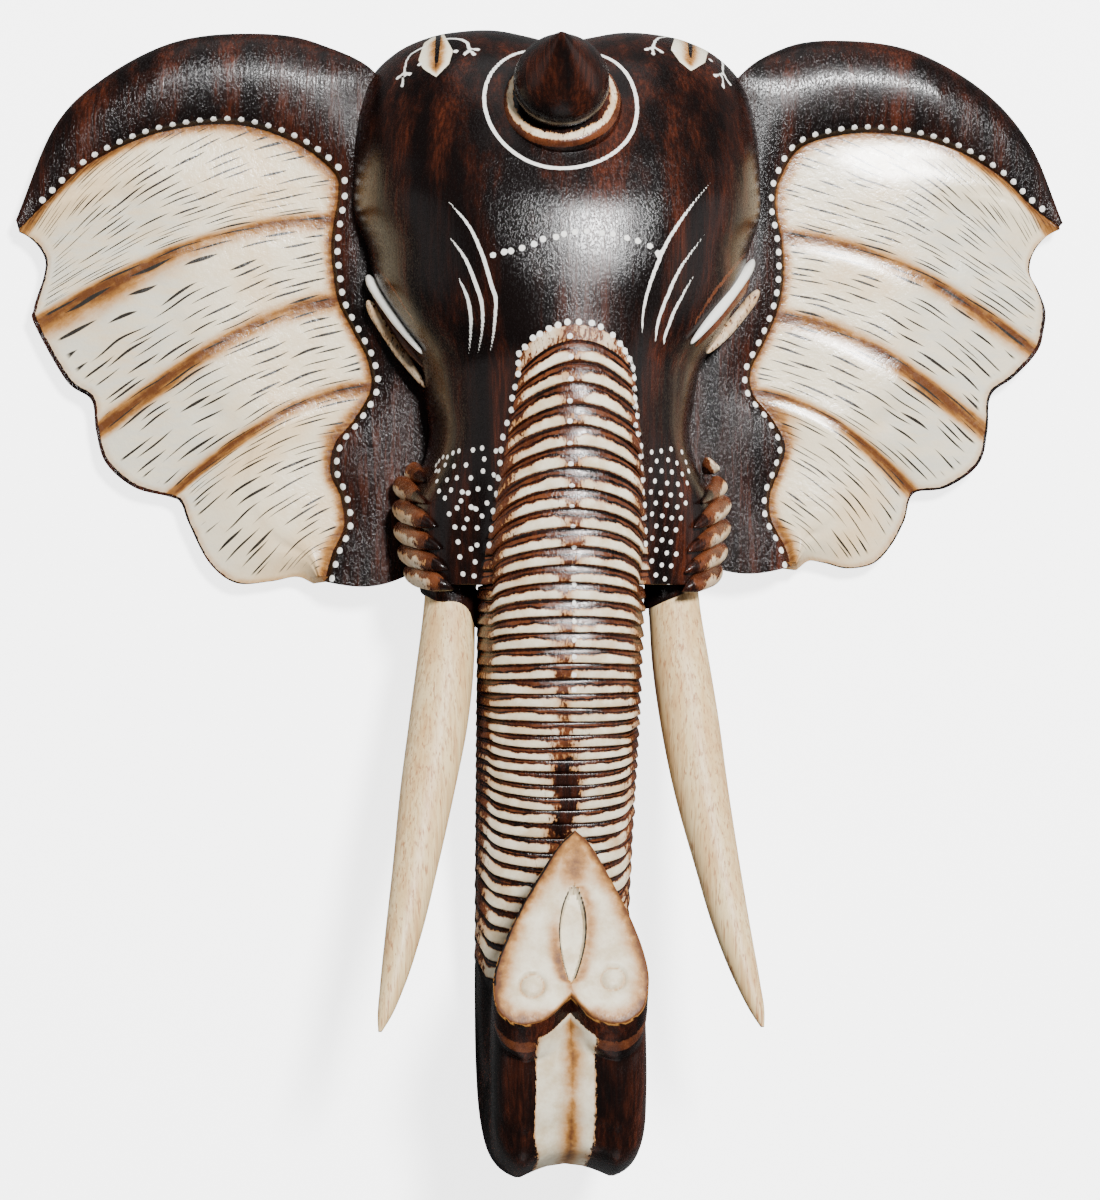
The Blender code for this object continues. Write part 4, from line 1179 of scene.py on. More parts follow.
# %% Stripe and dots on the trunk
STRIPE_MIDDLE = -3.2
STRIPE_HALF = 11.7
STRIPE_DOWN = (200, 303)
PATCH_PIXEL = (567, 800)
trunk_front = flat_rows(trunk_skin)
trunk_x = trunk_skin[..., 0]
trunk_y = trunk_skin[..., 1]
below_joint = [spot for spot in CENTRE_DOTS if spot[1] > JOINT_PICTURE_Y - JOINT_OVERLAP]
trunk_marks = dots(on_surface(trunk_front, below_joint), SMALL_DOT_RADIUS)
hook = ramp(down, 196, 204)[:, None] * ramp(np.abs(columns), 5.2, 6.0)[None, :]
stripe_edge = 0.9 * ripple(trunk_y / 5, 0 * trunk_x, 12)
stripe = np.where(hook > 0.5, STRIPE_HALF + stripe_edge - np.abs(trunk_x - STRIPE_MIDDLE), BARE)
stripe = np.minimum(stripe, np.minimum(STRIPE_DOWN[1] - down, down - STRIPE_DOWN[0])[:, None])
line_x = trunk_x + 0.8 + 0.8 * ripple(trunk_y / 7, 0 * trunk_x, 13)
stripe_smoke = 1.1 * ramp(-down, -303, -298)[:, None] * hook * np.exp(-(line_x / 3.9) ** 2)
trunk_cream = np.maximum(trunk_cream, 1.15 * ramp(stripe, -1.6, 1.6))
neck = ramp(down, 292, 294)[:, None] * (1 - ramp(down, 300, 304))[:, None]
neck = neck * ramp(np.abs(columns), 4.6, 5.4) * ramp(np.abs(trunk_x - STRIPE_MIDDLE), 10, 14)
trunk_stain = np.maximum(trunk_stain, 0.72 * neck)
patch_x, patch_y = on_surface(trunk_front, PATCH_PIXEL)[0, :2]
patch_wander = 2.2 * ripple(trunk_y / 4, trunk_x / 6, 16)
patch = np.exp(-((trunk_x - patch_x + patch_wander) / 5.0) ** 2 - ((trunk_y - patch_y) / 17) ** 2)
trunk_paint = {
    "white": paint_marks(trunk_front, trunk_marks),
    "smoke_and_shade": stripe_smoke,
    "cream": trunk_cream * (1 - patch),
    "stain": trunk_stain * (1 - 1.3 * patch),
}
print("dots down the trunk:", len(trunk_marks))

# %% Trunk mesh
grids = [plug, trunk_skin, tip_face]
points, faces = join_grids(grids, (False, False, False))
fields = paint_over(grids, [{}, trunk_paint, tip_paint])
mesh_piece("trunk", points, faces, fields, lacquer, ["head"])

# %% [markdown]
# ## The knob on the forehead
# The knob is turned, or carved as if turned: an onion-shaped bud on a stepped base ring. Blender's Screw
# modifier could spin its profile, but a formula also gives each point its place along the profile, which the
# cream on the ring needs. The axis leans with the slope of the forehead.

# %% Knob
KNOB_PROFILE = [(0.0, 48.0), (1.6, 46.6), (4.6, 42.6), (8.2, 37.6), (12.6, 32.0), (17.0, 26.0),
                (20.0, 19.5), (20.5, 13.5), (19.2, 8.8), (17.6, 6.4), (21.0, 5.6), (24.2, 4.2),
                (25.6, 1.6), (26.2, -2.5), (26.2, -14.0), (0.0, -14.0)]
KNOB_ROWS = 110
KNOB_TURNS = 96


def lathe(profile, turns, axis, place):
    """Profile (radius, height) carried round an axis: radius times cosine and sine, height along it."""
    turn = np.linspace(0, math.tau, turns, endpoint=False)
    frame_matrix = np.array(axis.to_track_quat("Z", "Y").to_matrix())
    radius = profile[:, 0:1]
    height = np.repeat(profile[:, 1:2], turns, 1)
    local = np.stack([radius * np.cos(turn), radius * np.sin(turn), height], axis=-1)
    return place + local @ frame_matrix.T


knob_line = smooth_path(KNOB_PROFILE, KNOB_ROWS)
knob_line[:, 0] = np.clip(knob_line[:, 0], 0, None)
knob_grid = lathe(knob_line, KNOB_TURNS, KNOB_AXIS, KNOB_PLACE)
step = np.linspace(0, len(KNOB_PROFILE) - 1, KNOB_ROWS)[:, None]
step = step + 0.12 * ripple(np.linspace(0, 30, KNOB_TURNS)[None, :], 0, 5)
knob_paint = {
    "cream": (0.70 * ramp(step, 9.5, 10.2) * (1 - ramp(step, 10.6, 11.2))).ravel(),
    "stain": (0.9 * ramp(step, 9.8, 10.2) * (1 - ramp(step, 11.6, 12.2))).ravel(),
}
points, faces = join_grids([knob_grid], [True])
mesh_piece("knob", points, faces, knob_paint, lacquer, ["head"])

# %% [markdown]
# ## Eyelids and cheek folds
# The eyelids are narrow rolls round a slit, and each cheek has six folds about ten millimetres thick. They
# could be raised out of the head's own grid, but its rows run the wrong way for them. Each is a rounded rod
# laid along the surface, so black gaps open between them as they do on the carving.

# %% Rods along the surface
ROD_SIDES = 28
LINE_SPOTS = 9
ROD_CENTRE_Z = 34.0


def surface_line(places, count, lift):
    """A smooth line on the head's surface under the given picture places, and its outward directions: a
    curve of the second degree that runs nearest to nine places found on the surface."""
    spots = on_surface(facing, smooth_path(places, LINE_SPOTS))
    bend = np.polynomial.polynomial.polyfit(np.linspace(-1, 1, LINE_SPOTS), spots, 2)
    line = np.polynomial.polynomial.polyval(np.linspace(-1, 1, count), bend).T
    centre = np.stack([np.full(count, HEAD_SHIFT), line[:, 1], np.full(count, ROD_CENTRE_Z)], axis=-1)
    away = line - centre
    away = away / np.linalg.norm(away, axis=1)[:, None]
    return line + away * lift, away


def rod(path, away, radius, tall=1.0):
    """Round rod: at each place a circle in the plane across the path, scaled by radius."""
    ahead = np.gradient(path, axis=0)
    ahead = ahead / np.linalg.norm(ahead, axis=1)[:, None]
    aside = np.cross(ahead, away)
    aside = aside / np.linalg.norm(aside, axis=1)[:, None]
    outward = np.cross(aside, ahead)
    turn = np.linspace(0, math.tau, ROD_SIDES, endpoint=False)[None, :, None]
    ring = aside[:, None] * np.cos(turn) + outward[:, None] * (np.sin(turn) * tall)
    return path[:, None] + ring * radius[:, None, None]


def head_rods(name, rods, paint):
    """One mesh of several closed rods that belong to the head; each rod's end circles have no radius."""
    points, faces = join_grids(rods, [True] * len(rods))
    mesh_piece(name, points, faces, paint, lacquer, ["head"], 60)


def round_ends(count, blunt):
    """Radius share along a rod: full in the middle, closing in a round at both ends."""
    share = np.linspace(-1, 1, count)
    return np.clip(1 - np.abs(share) ** blunt, 0, None) ** 0.5


print("points that face the camera:", len(facing))

# %% Eyelids
LID_ROWS = 60
LID_LINES = [
    ("white", 2.5, 1.0, [(371, 276), (377, 290), (398, 318), (423, 353)]),
    ("stain", 3.4, -1.6, [(373, 298), (386, 318), (405, 343), (426, 370)]),
    ("cream", 2.6, 0.6, [(369, 300), (380, 320), (400, 350), (427, 388)]),
    ("white", 2.5, 1.0, [(750, 261), (741, 278), (716, 310), (690, 343)]),
    ("stain", 3.4, -1.6, [(751, 278), (737, 297), (717, 321), (696, 347)]),
    ("cream", 2.6, 0.6, [(757, 290), (744, 309), (725, 331), (706, 353)]),
]
LID_CREAM = {"white": 0.75, "stain": 0.0, "cream": 0.62}
lids = []
lid_paints = []
for paint, radius, lift, places in LID_LINES:
    line, away = surface_line(places, LID_ROWS, lift)
    taper = np.interp(np.linspace(0, 1, LID_ROWS), [0, 0.2, 0.7, 1], [0.7, 1, 1, 0.6])
    lids.append(rod(line, away, round_ends(LID_ROWS, 6) * taper * radius))
    every = np.ones(LID_ROWS * ROD_SIDES)
    white = 0.12 if paint == "white" else BARE
    lid_paints.append({"white": white * every, "stain": 0.9 * every, "cream": LID_CREAM[paint] * every})
head_rods("eyelids", lids, paint_over(lids, lid_paints))

# %% Cheek folds
LEFT_FOLDS = [((412, 470), (426, 481)), ((400, 483), (427, 503)), ((399, 507), (438, 527)),
              ((400, 529), (443, 549)), ((404, 551), (450, 570)), ((410, 571), (456, 590))]
RIGHT_FOLDS = [((712, 461), (701, 474)), ((721, 480), (700, 503)), ((724, 502), (692, 528)),
               ((724, 525), (686, 552)), ((721, 549), (682, 573)), ((716, 570), (680, 592))]
FOLD_ROWS = 48
FOLD_RADIUS = 5.2
folds = []
fold_paints = []
for outer, inner in LEFT_FOLDS + RIGHT_FOLDS:
    halfway = ((outer[0] + inner[0]) / 2, (outer[1] + inner[1]) / 2)
    line, away = surface_line([outer, halfway, inner], FOLD_ROWS, 1.0)
    taper = np.interp(np.linspace(0, 1, FOLD_ROWS), [0, 0.25, 0.6, 1], [0.92, 1, 0.78, 0.15])
    grid = rod(line, away, round_ends(FOLD_ROWS, 7) * taper * FOLD_RADIUS, tall=0.85)
    folds.append(grid)
    drop = -(grid[..., 1] - line[:, None, 1]) / FOLD_RADIUS
    lower = ramp(drop + 0.2 * ripple(line[:, None, 0] / 2, grid[..., 2] / 2, 51), -0.55, 0.05)
    share = np.linspace(0, 1, FOLD_ROWS)[:, None]
    fold_paints.append({"cream": 0.66 * lower * (1 - ramp(share, 0.45, 0.8)) * ramp(share, -0.05, 0.08),
                        "stain": 0.80 - 0.5 * ramp(drop, 0.6, 0.95) - 0.7 * ramp(share, 0.55, 0.9)})
head_rods("cheek_folds", folds, paint_over(folds, fold_paints))

# %% [markdown]
# ## The ears
# Each ear is a carved board: a dark rounded rim along the top and the head, then a step down to a pale
# panel whose lower edge is scalloped between the veins. An outline filled and made solid would be flat, and
# the real board rolls and domes. So sections run from the rim to the edge, fan out from the lower corner
# round to the tip, and carry the height as a formula.

# %% Ear outlines
LEFT_SEAT = [(-53, 14), (-53, 23), (-53, 33), (-51, 44), (-47.5, 55), (-45, 66), (-44.5, 77), (-45.5, 89),
             (-49, 101), (-56, 113), (-63.5, 125), (-69, 137), (-73, 150), (-75.5, 164), (-76, 180),
             (-76, 203), (-77, 229), (-104, 245.3), (-134, 248.8), (-167, 244.3), (-197.4, 228.2),
             (-219, 206.5), (-236.0, 165)]
LEFT_PANEL = [(-100.5, 5.5), (-97, 18), (-91.9, 30), (-93.5, 43), (-97.9, 54), (-96, 66.5), (-87, 78),
              (-80, 91), (-81.5, 104), (-88, 117), (-94.5, 130), (-96.5, 142), (-97.5, 153), (-96.3, 165),
              (-94.3, 177), (-96.5, 187), (-115, 200.3), (-140, 207.2), (-166, 204.8), (-187, 198),
              (-207, 187), (-222, 173), (-233.2, 161.5)]
LEFT_EDGE = [(-104.5, 4.6), (-112, 7.6), (-124, 5.5), (-139.2, 4.9), (-151, 14), (-159.8, 31),
             (-163.5, 40.5), (-168.5, 43.2), (-184, 47.3), (-196.5, 58), (-200.8, 72), (-203, 86),
             (-214, 94.6), (-227.8, 119), (-228.2, 125.5), (-226.4, 132), (-224, 139), (-222.9, 146),
             (-224.4, 151), (-226.8, 154.6), (-229.4, 157.2), (-232, 159), (-234.6, 160.2)]
RIGHT_SEAT = [(59, 18), (59, 27), (59, 36), (57, 47), (54, 57), (51.5, 67), (51, 78), (52, 90), (56, 102),
              (62.5, 114), (69.5, 126), (75, 138), (79, 151), (82, 165), (83, 180), (83, 203), (84, 229.5),
              (108, 246.6), (137, 250), (167.5, 245.3), (199, 228.2), (221, 204), (236.0, 169)]
RIGHT_PANEL = [(109.5, 12.5), (107, 21), (100.5, 34), (100.3, 45), (104.5, 56), (107, 67), (101, 79),
               (92.5, 89.5), (91.3, 100), (97, 112), (102.5, 124.5), (105.5, 136), (106.3, 148),
               (105.2, 160), (102.6, 174), (104.5, 186), (115, 201), (139, 207.2), (164, 206),
               (186, 199.6), (206, 188.5), (221, 175.5), (233, 167)]
RIGHT_EDGE = [(113, 10.8), (119, 15), (127, 14), (137.3, 11.6), (148.5, 13.9), (156.5, 22), (162.5, 33),
              (167, 45.5), (182, 48.3), (196.5, 58.5), (201, 73), (202.5, 90), (213, 98.5), (224, 110),
              (227, 120), (227.8, 129), (224.5, 138), (220.8, 145), (220.8, 151), (223, 156.5),
              (226.3, 160.8), (230, 163.8), (234.6, 166)]
EAR_LAST = len(LEFT_SEAT) - 1
EAR_VEINS = [7, 10, 13]
print("ear sections:", len(LEFT_SEAT), "veins:", len(EAR_VEINS))

# %% Ear surface
EAR_RIM_Z = 24.6
EAR_PANEL_Z = 18.5
EAR_EDGE_Z = 11.5
EAR_BACK_Z = 5.0
EAR_SEAT_Z = 25.7
EAR_BOW = [(0, 3), (4, 6), (7, 9), (10, 8), (13, 10), (16, 8), (18, 5), (20, 1.5), (22, 0)]
EAR_RIDGE = 0.58
RIM_DROP = 3.0


def ear_surface(seat, panel, edge, fan, steps):
    """Ear point: across the rim (0..1) the height swells to a crest and rolls down to the panel; across
    the panel (1..2) it domes between the veins and thins to the edge; the back (2..3) is flat."""
    places = np.arange(len(seat))
    start = smooth(places, seat, fan)[:, None]
    lip = smooth(places, panel, fan)[:, None]
    end = smooth(places, edge, fan)[:, None]
    t = fan[:, None]
    u = steps[None, :]
    taper = np.clip((EAR_LAST - t) / 3.0, 0.15, 1.0)
    hidden = 1 - ramp(t, 16.0, 17.0)
    vein = sum(np.exp(-((t - v) / 0.35) ** 2) for v in EAR_VEINS)
    rim = EAR_RIM_Z * taper + EAR_EDGE_Z * (1 - taper)
    flat = EAR_PANEL_Z * taper + EAR_EDGE_Z * (1 - taper)
    outer = EAR_SEAT_Z * hidden + (13.0 * taper + 10.0 * (1 - taper)) * (1 - hidden)
    on_rim = np.clip(u, 0, 1)
    on_panel = np.clip(u - 1, 0, 1)
    on_back = np.clip(u - 2, 0, 1)
    plan = start + (lip - start) * on_rim[..., None] + (end - lip) * on_panel[..., None]
    plan = plan + (start - end) * on_back[..., None]
    low_corner = np.clip(1 - t, 0, 1) * np.sin(math.pi * on_rim) * 6.0
    bow = pairs(EAR_BOW, t) * 4 * on_panel * (1 - on_panel) * (u <= 2)
    plan = np.concatenate([plan[..., :1], plan[..., 1:] + (bow - low_corner)[..., None]], axis=-1)
    swell = np.sqrt(np.clip(1 - (1 - np.clip(on_rim / 0.5, 0, 1)) ** 2, 0, 1))
    z = outer + (rim - outer) * swell - RIM_DROP * taper * np.clip((on_rim - 0.5) / 0.44, 0, 1) ** 2
    z = z + (flat - (rim - RIM_DROP * taper)) * ramp(on_rim, 0.93, 1.0)
    fall = np.clip((on_panel - EAR_RIDGE) / (1 - EAR_RIDGE), 0, 1)
    rise = 1.6 * taper * (ramp(on_panel, 0.0, EAR_RIDGE) - ramp(on_panel, EAR_RIDGE, 1.0))
    groove = 0.7 * vein * np.sin(math.pi * np.clip(on_panel, 0, 1)) ** 0.6
    wander = 0.05 * ripple(t * 0.8, 0 * on_panel, 33)
    deep = 1.3 * (0.75 + 0.5 * ripple(t * 1.7, on_panel * 2, 34))
    soft = deep * np.exp(-((on_panel - EAR_RIDGE - wander) / 0.065) ** 2) * taper
    facets = 0.50 * taper * ripple(t * 1.3, on_panel * 9, 31) * np.sin(math.pi * on_panel)
    z = z + (EAR_EDGE_Z - flat - 0.8 * vein) * fall * 0.999 + rise - groove - soft + facets
    z = np.where(u > 2, EAR_BACK_Z, z)
    return np.concatenate([plan, np.broadcast_to(z, plan.shape[:2])[..., None]], axis=-1)


print("ear heights from", EAR_BACK_Z, "to", EAR_SEAT_Z, "mm")

# %% [markdown]
# ## Numbers for the ears' paint
# Dots follow the border between the rim and the panel at an even spacing. Smoke lies along that border and
# along the three veins. The panel's fine strokes follow the fan of the ear, so each point also gets its place
# in the fan and its distance from the border. UVs could carry the two, but named numbers are easier to read.

# %% Ear dots and smoke
PANEL_END = 1.985
DOT_FAN = (0.15, 21.4)
VEIN_STRENGTHS = (0.95, 1.0, 0.95)


def border_dots(seat, panel, edge, spacing, inset):
    """Dots on the rim beside the panel's border, a fixed spacing apart along the border's length."""
    fine = np.linspace(*DOT_FAN, 900)
    line = smooth(np.arange(len(panel)), panel, fine)
    length = np.concatenate([[0], np.cumsum(np.linalg.norm(np.diff(line, axis=0), axis=1))])
    fan = np.interp(np.arange(0, length[-1], spacing), length, fine)
    start = smooth(np.arange(len(seat)), seat, fan)
    lip = smooth(np.arange(len(panel)), panel, fan)
    steps = 1 - np.clip(inset / np.linalg.norm(lip - start, axis=1), 0, 0.6)
    return ear_surface(seat, panel, edge, fan, steps)[np.arange(len(fan)), np.arange(len(fan))]


def ear_paint(seat, panel, edge, fan, steps):
    """Numbers for the ear's paint: how far inside the panel, along and across its fan, and the smoke."""
    places = np.arange(len(seat))
    start = smooth(places, seat, fan)
    lip = smooth(places, panel, fan)
    end = smooth(places, edge, fan)
    rim_width = np.linalg.norm(lip - start, axis=1)[:, None]
    width = np.linalg.norm(end - lip, axis=1)[:, None]
    u = steps[None, :] + 0 * rim_width
    t = fan[:, None] + 0 * u
    from_border = np.where(u < 1, -(1 - u) * rim_width, (u - 1) * width)
    inside_panel = np.minimum(from_border, (PANEL_END - u) * width)
    top = ramp(t, 13.0, 15.0)
    reach = np.clip(u - 1, 0, 1)
    across = np.gradient(lip, axis=0)
    across = across / np.linalg.norm(across, axis=1)[:, None]
    lean = (end - lip) / width
    square = np.abs(across[:, :1] * lean[:, 1:] - across[:, 1:] * lean[:, :1])
    smoke_and_shade = 1.1 * np.exp(-(from_border * square / (3.8 + 2.6 * top)) ** 2)
    for vein, strength in zip(EAR_VEINS, VEIN_STRENGTHS):
        patchy = 0.98 + 0.14 * np.sin(reach * 7.0 + vein * 2.1)
        off = t - vein - 0.1 * np.sin(reach * 6)
        band = np.exp(-np.abs(off / (0.42 - 0.06 * reach)) ** 2.4)
        band = band + 0.25 * np.exp(-((off - 0.08) / 0.16) ** 2)
        smoke_and_shade = np.maximum(smoke_and_shade, strength * band * patchy)
    scallop = 0.5 * np.exp(-((PANEL_END - u) * width / 1.6) ** 2)
    smoke_and_shade = np.maximum(smoke_and_shade, scallop)
    return {"panel": inside_panel, "fan": t, "reach": np.clip(from_border, 0, None), "smoke_and_shade": smoke_and_shade}


print("dots run from section", DOT_FAN[0], "to", DOT_FAN[1])

# %% Ear board
EAR_ROWS = 380
RIM_STEPS = 66
LIP_STEPS = 16
PANEL_STEPS = 84
BACK_STEPS = 14
EAR_DOT_SPACING = 6.0
EAR_DOT_INSET = 3.0
EAR_DOT_RADIUS = 1.5


def build_ear(name, seat, panel, edge, node, material):
    """Ear mesh: grid over the fan and the section, wrapped round the back, closed at both ends."""
    fan = np.linspace(0, EAR_LAST, EAR_ROWS)
    steps = np.concatenate([np.linspace(0, 0.90, RIM_STEPS), np.linspace(0.91, 1.0, LIP_STEPS),
                            np.linspace(1.01, 2.0, PANEL_STEPS), 2 + np.linspace(1e-6, 1, BACK_STEPS)])
    grid = ear_surface(seat, panel, edge, fan, steps)
    fields = ear_paint(seat, panel, edge, fan, steps)
    spots = border_dots(seat, panel, edge, EAR_DOT_SPACING, EAR_DOT_INSET)
    white = paint_marks(flat_rows(grid), dots(spots, EAR_DOT_RADIUS))
    fields["white"] = white.reshape(grid.shape[:2])
    for mark, values in fields.items():
        fields[mark] = np.concatenate([values[:1], values, values[-1:]]).ravel()
    points, faces = join_grids([close_ends(grid)], [True])
    mesh_piece(name, points, faces, fields, material, [node], 42)


print("points of an ear's grid:", EAR_ROWS * (RIM_STEPS + LIP_STEPS + PANEL_STEPS + BACK_STEPS))

# %% [markdown]
# ## Ink strokes and the ears' finish
# The ivory panel is scored with short dark strokes that run along the ear, thin at both ends. Real hair
# strokes as geometry would be thousands of slivers. The shader draws them instead: it cuts the panel into
# lanes and each lane into dashes, and gives every dash its own start, length and width from white noise.
# Under them lie ivory paint that yellows in patches, smoke on the veins, and painted shade that greys the
# outer part of the panel in patches.

# %% Ink strokes
STROKE_LANE = 0.27
STROKE_PERIOD = 29.0
STROKE_WIDTH = 0.29


def hair_strokes(tree, fan, reach, place):
    """Thin dark strokes along the fan: the panel is cut into lanes, each lane into dashes of a random
    start, length and width, and a stroke is where the distance to the dash's middle line is small."""
    bend = times(tree, minus(tree, noise(tree, place, 30.0, 1.0), 0.5), 0.35)
    lane_place = math_node(tree, "DIVIDE", plus(tree, fan, bend), STROKE_LANE)
    lane = math_node(tree, "FLOOR", lane_place)
    lane_random = add_node(tree, "ShaderNodeTexWhiteNoise", noise_dimensions="1D")
    wire(tree, lane, lane_random.inputs["W"])
    run = math_node(tree, "DIVIDE", reach, STROKE_PERIOD)
    run = plus(tree, run, times(tree, lane_random.outputs["Value"], 7.0))
    dash = math_node(tree, "FLOOR", run)
    along = math_node(tree, "FRACT", run)
    cell = add_node(tree, "ShaderNodeCombineXYZ")
    wire(tree, lane, cell.inputs["X"])
    wire(tree, dash, cell.inputs["Y"])
    cell_random = add_node(tree, "ShaderNodeTexWhiteNoise", noise_dimensions="2D")
    wire(tree, cell.outputs["Vector"], cell_random.inputs["Vector"])
    split = add_node(tree, "ShaderNodeSeparateColor")
    wire(tree, cell_random.outputs["Color"], split.inputs["Color"])
    middle = plus(tree, times(tree, split.outputs["Red"], 0.6), 0.2)
    gap = math_node(tree, "ABSOLUTE", minus(tree, math_node(tree, "FRACT", lane_place), middle))
    gap = times(tree, gap, STROKE_LANE * 12.0)
    length = plus(tree, times(tree, split.outputs["Green"], 0.5), 0.48)
    share = math_node(tree, "DIVIDE", along, length)
    swell = times(tree, minus(tree, 1.0, share), times(tree, share, 4.0))
    width = times(tree, plus(tree, split.outputs["Blue"], 0.95), STROKE_WIDTH)
    return between(tree, minus(tree, times(tree, swell, width), gap), -0.08, 0.10)


print("strokes repeat every", STROKE_PERIOD, "mm along a lane")

# %% Ear finish
IVORY_CLEAN = (0.80, 0.685, 0.48)
IVORY_WARM = (0.76, 0.56, 0.32)
# ivory as it looks in shade, used as painted shade on the outer part of the panel
IVORY_IN_SHADE = (0.64, 0.61, 0.50)
STROKE_INK = (0.022, 0.019, 0.016)


def ear_material(name):
    """Dark lacquered rim with white dots, and a glossy ivory panel with smoky veins, thin strokes and
    painted shade on its outer part.
    """
    material, tree, shader, place = start_material(name)
    wood = use_group(tree, lacquer_group, Place=place)
    panel_edge = plus(tree, field(tree, "panel"), 0.35)
    panel = use_group(tree, mark_group, Place=place, Depth_inside=panel_edge, Wobble=0.9)
    panel = panel.outputs["Cover"]
    cloud = noise(tree, place, 22.0, 4.0, 0.6)
    shade_patches = noise(tree, place, 60.0, 4.0, 0.7, (1.0, 3.0, 1.0))
    ivory = mix_colour(tree, between(tree, cloud, 0.40, 0.66), IVORY_CLEAN, IVORY_WARM)
    # painted shade: the outer part of the panel, which curves away from the light, is greyed in patches
    outer = between(tree, field(tree, "reach"), 45.0, 80.0)
    outer_shade = times(tree, outer, between(tree, shade_patches, 0.35, 0.65, 0.35, 0.9))
    ivory = mix_colour(tree, outer_shade, ivory, IVORY_IN_SHADE)
    fan_place = add_node(tree, "ShaderNodeCombineXYZ")
    wire(tree, times(tree, field(tree, "fan"), 5.0), fan_place.inputs["X"])
    wire(tree, times(tree, field(tree, "reach"), 0.045), fan_place.inputs["Y"])
    streaks = noise(tree, fan_place.outputs["Vector"], 1.0, 4.0, 0.6)
    streaks = between(tree, streaks, 0.25, 0.75, 0.85, 1.30)
    smoke_and_shade = use_group(tree, smoke_and_shade_group, Place=place, Uneven=0.5,
                      Amount=times(tree, field(tree, "smoke_and_shade"), streaks))
    ivory = mix_colour(tree, smoke_and_shade.outputs["Cover"], ivory, smoke_and_shade.outputs["Colour"])
    strokes = hair_strokes(tree, field(tree, "fan"), field(tree, "reach"), place)
    away_from_border = between(tree, field(tree, "panel"), 2.5, 5.0)
    strokes = times(tree, strokes, away_from_border)
    ivory = mix_colour(tree, strokes, ivory, STROKE_INK)
    colour = mix_colour(tree, panel, wood.outputs["Colour"], ivory)
    colour = mix_colour(tree, painted_cover(tree, place, "white"), colour, WHITE)
    brush = noise(tree, place, 340.0, 3.0, 0.7)
    panel_rough = between(tree, brush, 0.3, 0.7, 0.16, 0.34)
    roughness = mix_number(tree, panel, wood.outputs["Roughness"], panel_rough)
    height = mix_number(tree, panel, wood.outputs["Height"], times(tree, brush, 0.7))
    finish_material(tree, shader, colour, roughness, height)
    clear = minus(tree, 1.0, times(tree, smoke_and_shade.outputs["Cover"], 0.8))
    coat = times(tree, panel, times(tree, clear, 0.4))
    wire(tree, coat, shader.inputs["Coat Weight"])
    shader.inputs["Specular IOR Level"].default_value = 0.30
    shader.inputs["Coat Roughness"].default_value = 0.15
    return material


painted_ear = ear_material("painted_ear")
build_ear("left_ear_board", LEFT_SEAT, LEFT_PANEL, LEFT_EDGE, "left_ear", painted_ear)
build_ear("right_ear_board", RIGHT_SEAT, RIGHT_PANEL, RIGHT_EDGE, "right_ear", painted_ear)

# %% [markdown]
# ## The tusks
# The tusks are bare pale wood, whittled round and sanded, with long reddish pores, and each stands in a dark
# cuff under the cheek. A curve with a bevel could make them, but a table of circles also gives the swelling
# below the cuff and the slow taper to the tip.

# %% Tusk shape
TUSK_ROWS = [
    (22, -43.0, 50.4, 39.0, 10.8),
    (4, -45.8, 51.8, 44.0, 11.2),
    (-10, -47.2, 52.6, 48.5, 11.5),
    (-28, -49.0, 53.8, 55.0, 12.4),
    (-55, -52.8, 56.5, 64.5, 12.7),
    (-85, -58.5, 60.0, 76.0, 11.6),
    (-115, -64.2, 65.0, 87.5, 9.7),
    (-145, -70.5, 70.6, 99.0, 7.6),
    (-165, -75.4, 75.6, 106.0, 5.2),
    (-178, -79.2, 79.4, 110.5, 2.6),
    (-183, -80.8, 80.8, 112.0, 0.8),
]
TUSK_LEVELS = 130
TUSK_TURNS = 64


def tusk_surface(side, level, turn):
    """Tusk point: a slightly leaning circle of the table's radius round the table's middle line, with
    soft flats left by the knife."""
    rows = np.asarray(TUSK_ROWS, float)[::-1]
    got = smooth(rows[:, 0], rows[:, 1:], level)
    x, z, radius = got[:, 0 if side < 0 else 1], got[:, 2], got[:, 3]
    radius = radius[:, None] * (1 + 0.012 * ripple(turn[None, :] * 1.5, level[:, None] / 30, 3 + side))
    return np.stack([x[:, None] + radius * np.cos(turn), level[:, None] + radius * 0.36 * np.sin(turn),
                     z[:, None] + radius * 0.94 * np.sin(turn)], axis=-1)


print("tusk rows:", len(TUSK_ROWS))

# %% Bare wood
TUSK_PALE = (0.75, 0.57, 0.30)
TUSK_WARM = (0.64, 0.41, 0.18)
GRAIN_LINE = (0.50, 0.27, 0.11)
PORE = (0.33, 0.13, 0.05)


def tusk_material(name):
    """Bare sanded wood: pale cream with long reddish streaks and short dark pores along the grain."""
    material, tree, shader, place = start_material(name)
    grain = noise(tree, place, 60.0, 4.0, 0.6, (3.2, 0.16, 2.0))
    lines = noise(tree, place, 260.0, 3.0, 0.6, (3.0, 0.04, 2.0))
    pores = noise(tree, place, 420.0, 2.0, 0.6, (3.0, 0.14, 2.0))
    colour = mix_colour(tree, between(tree, grain, 0.35, 0.70), TUSK_PALE, TUSK_WARM)
    colour = mix_colour(tree, between(tree, lines, 0.46, 0.64, 0.0, 0.60), colour, GRAIN_LINE)
    colour = mix_colour(tree, between(tree, pores, 0.56, 0.66, 0.0, 0.75), colour, PORE)
    roughness = between(tree, pores, 0.3, 0.7, 0.42, 0.6)
    finish_material(tree, shader, colour, roughness, times(tree, pores, -1.0), 0.3, 0.0003)
    return material


bare_wood = tusk_material("bare_pale_wood")
print("material:", bare_wood.name)

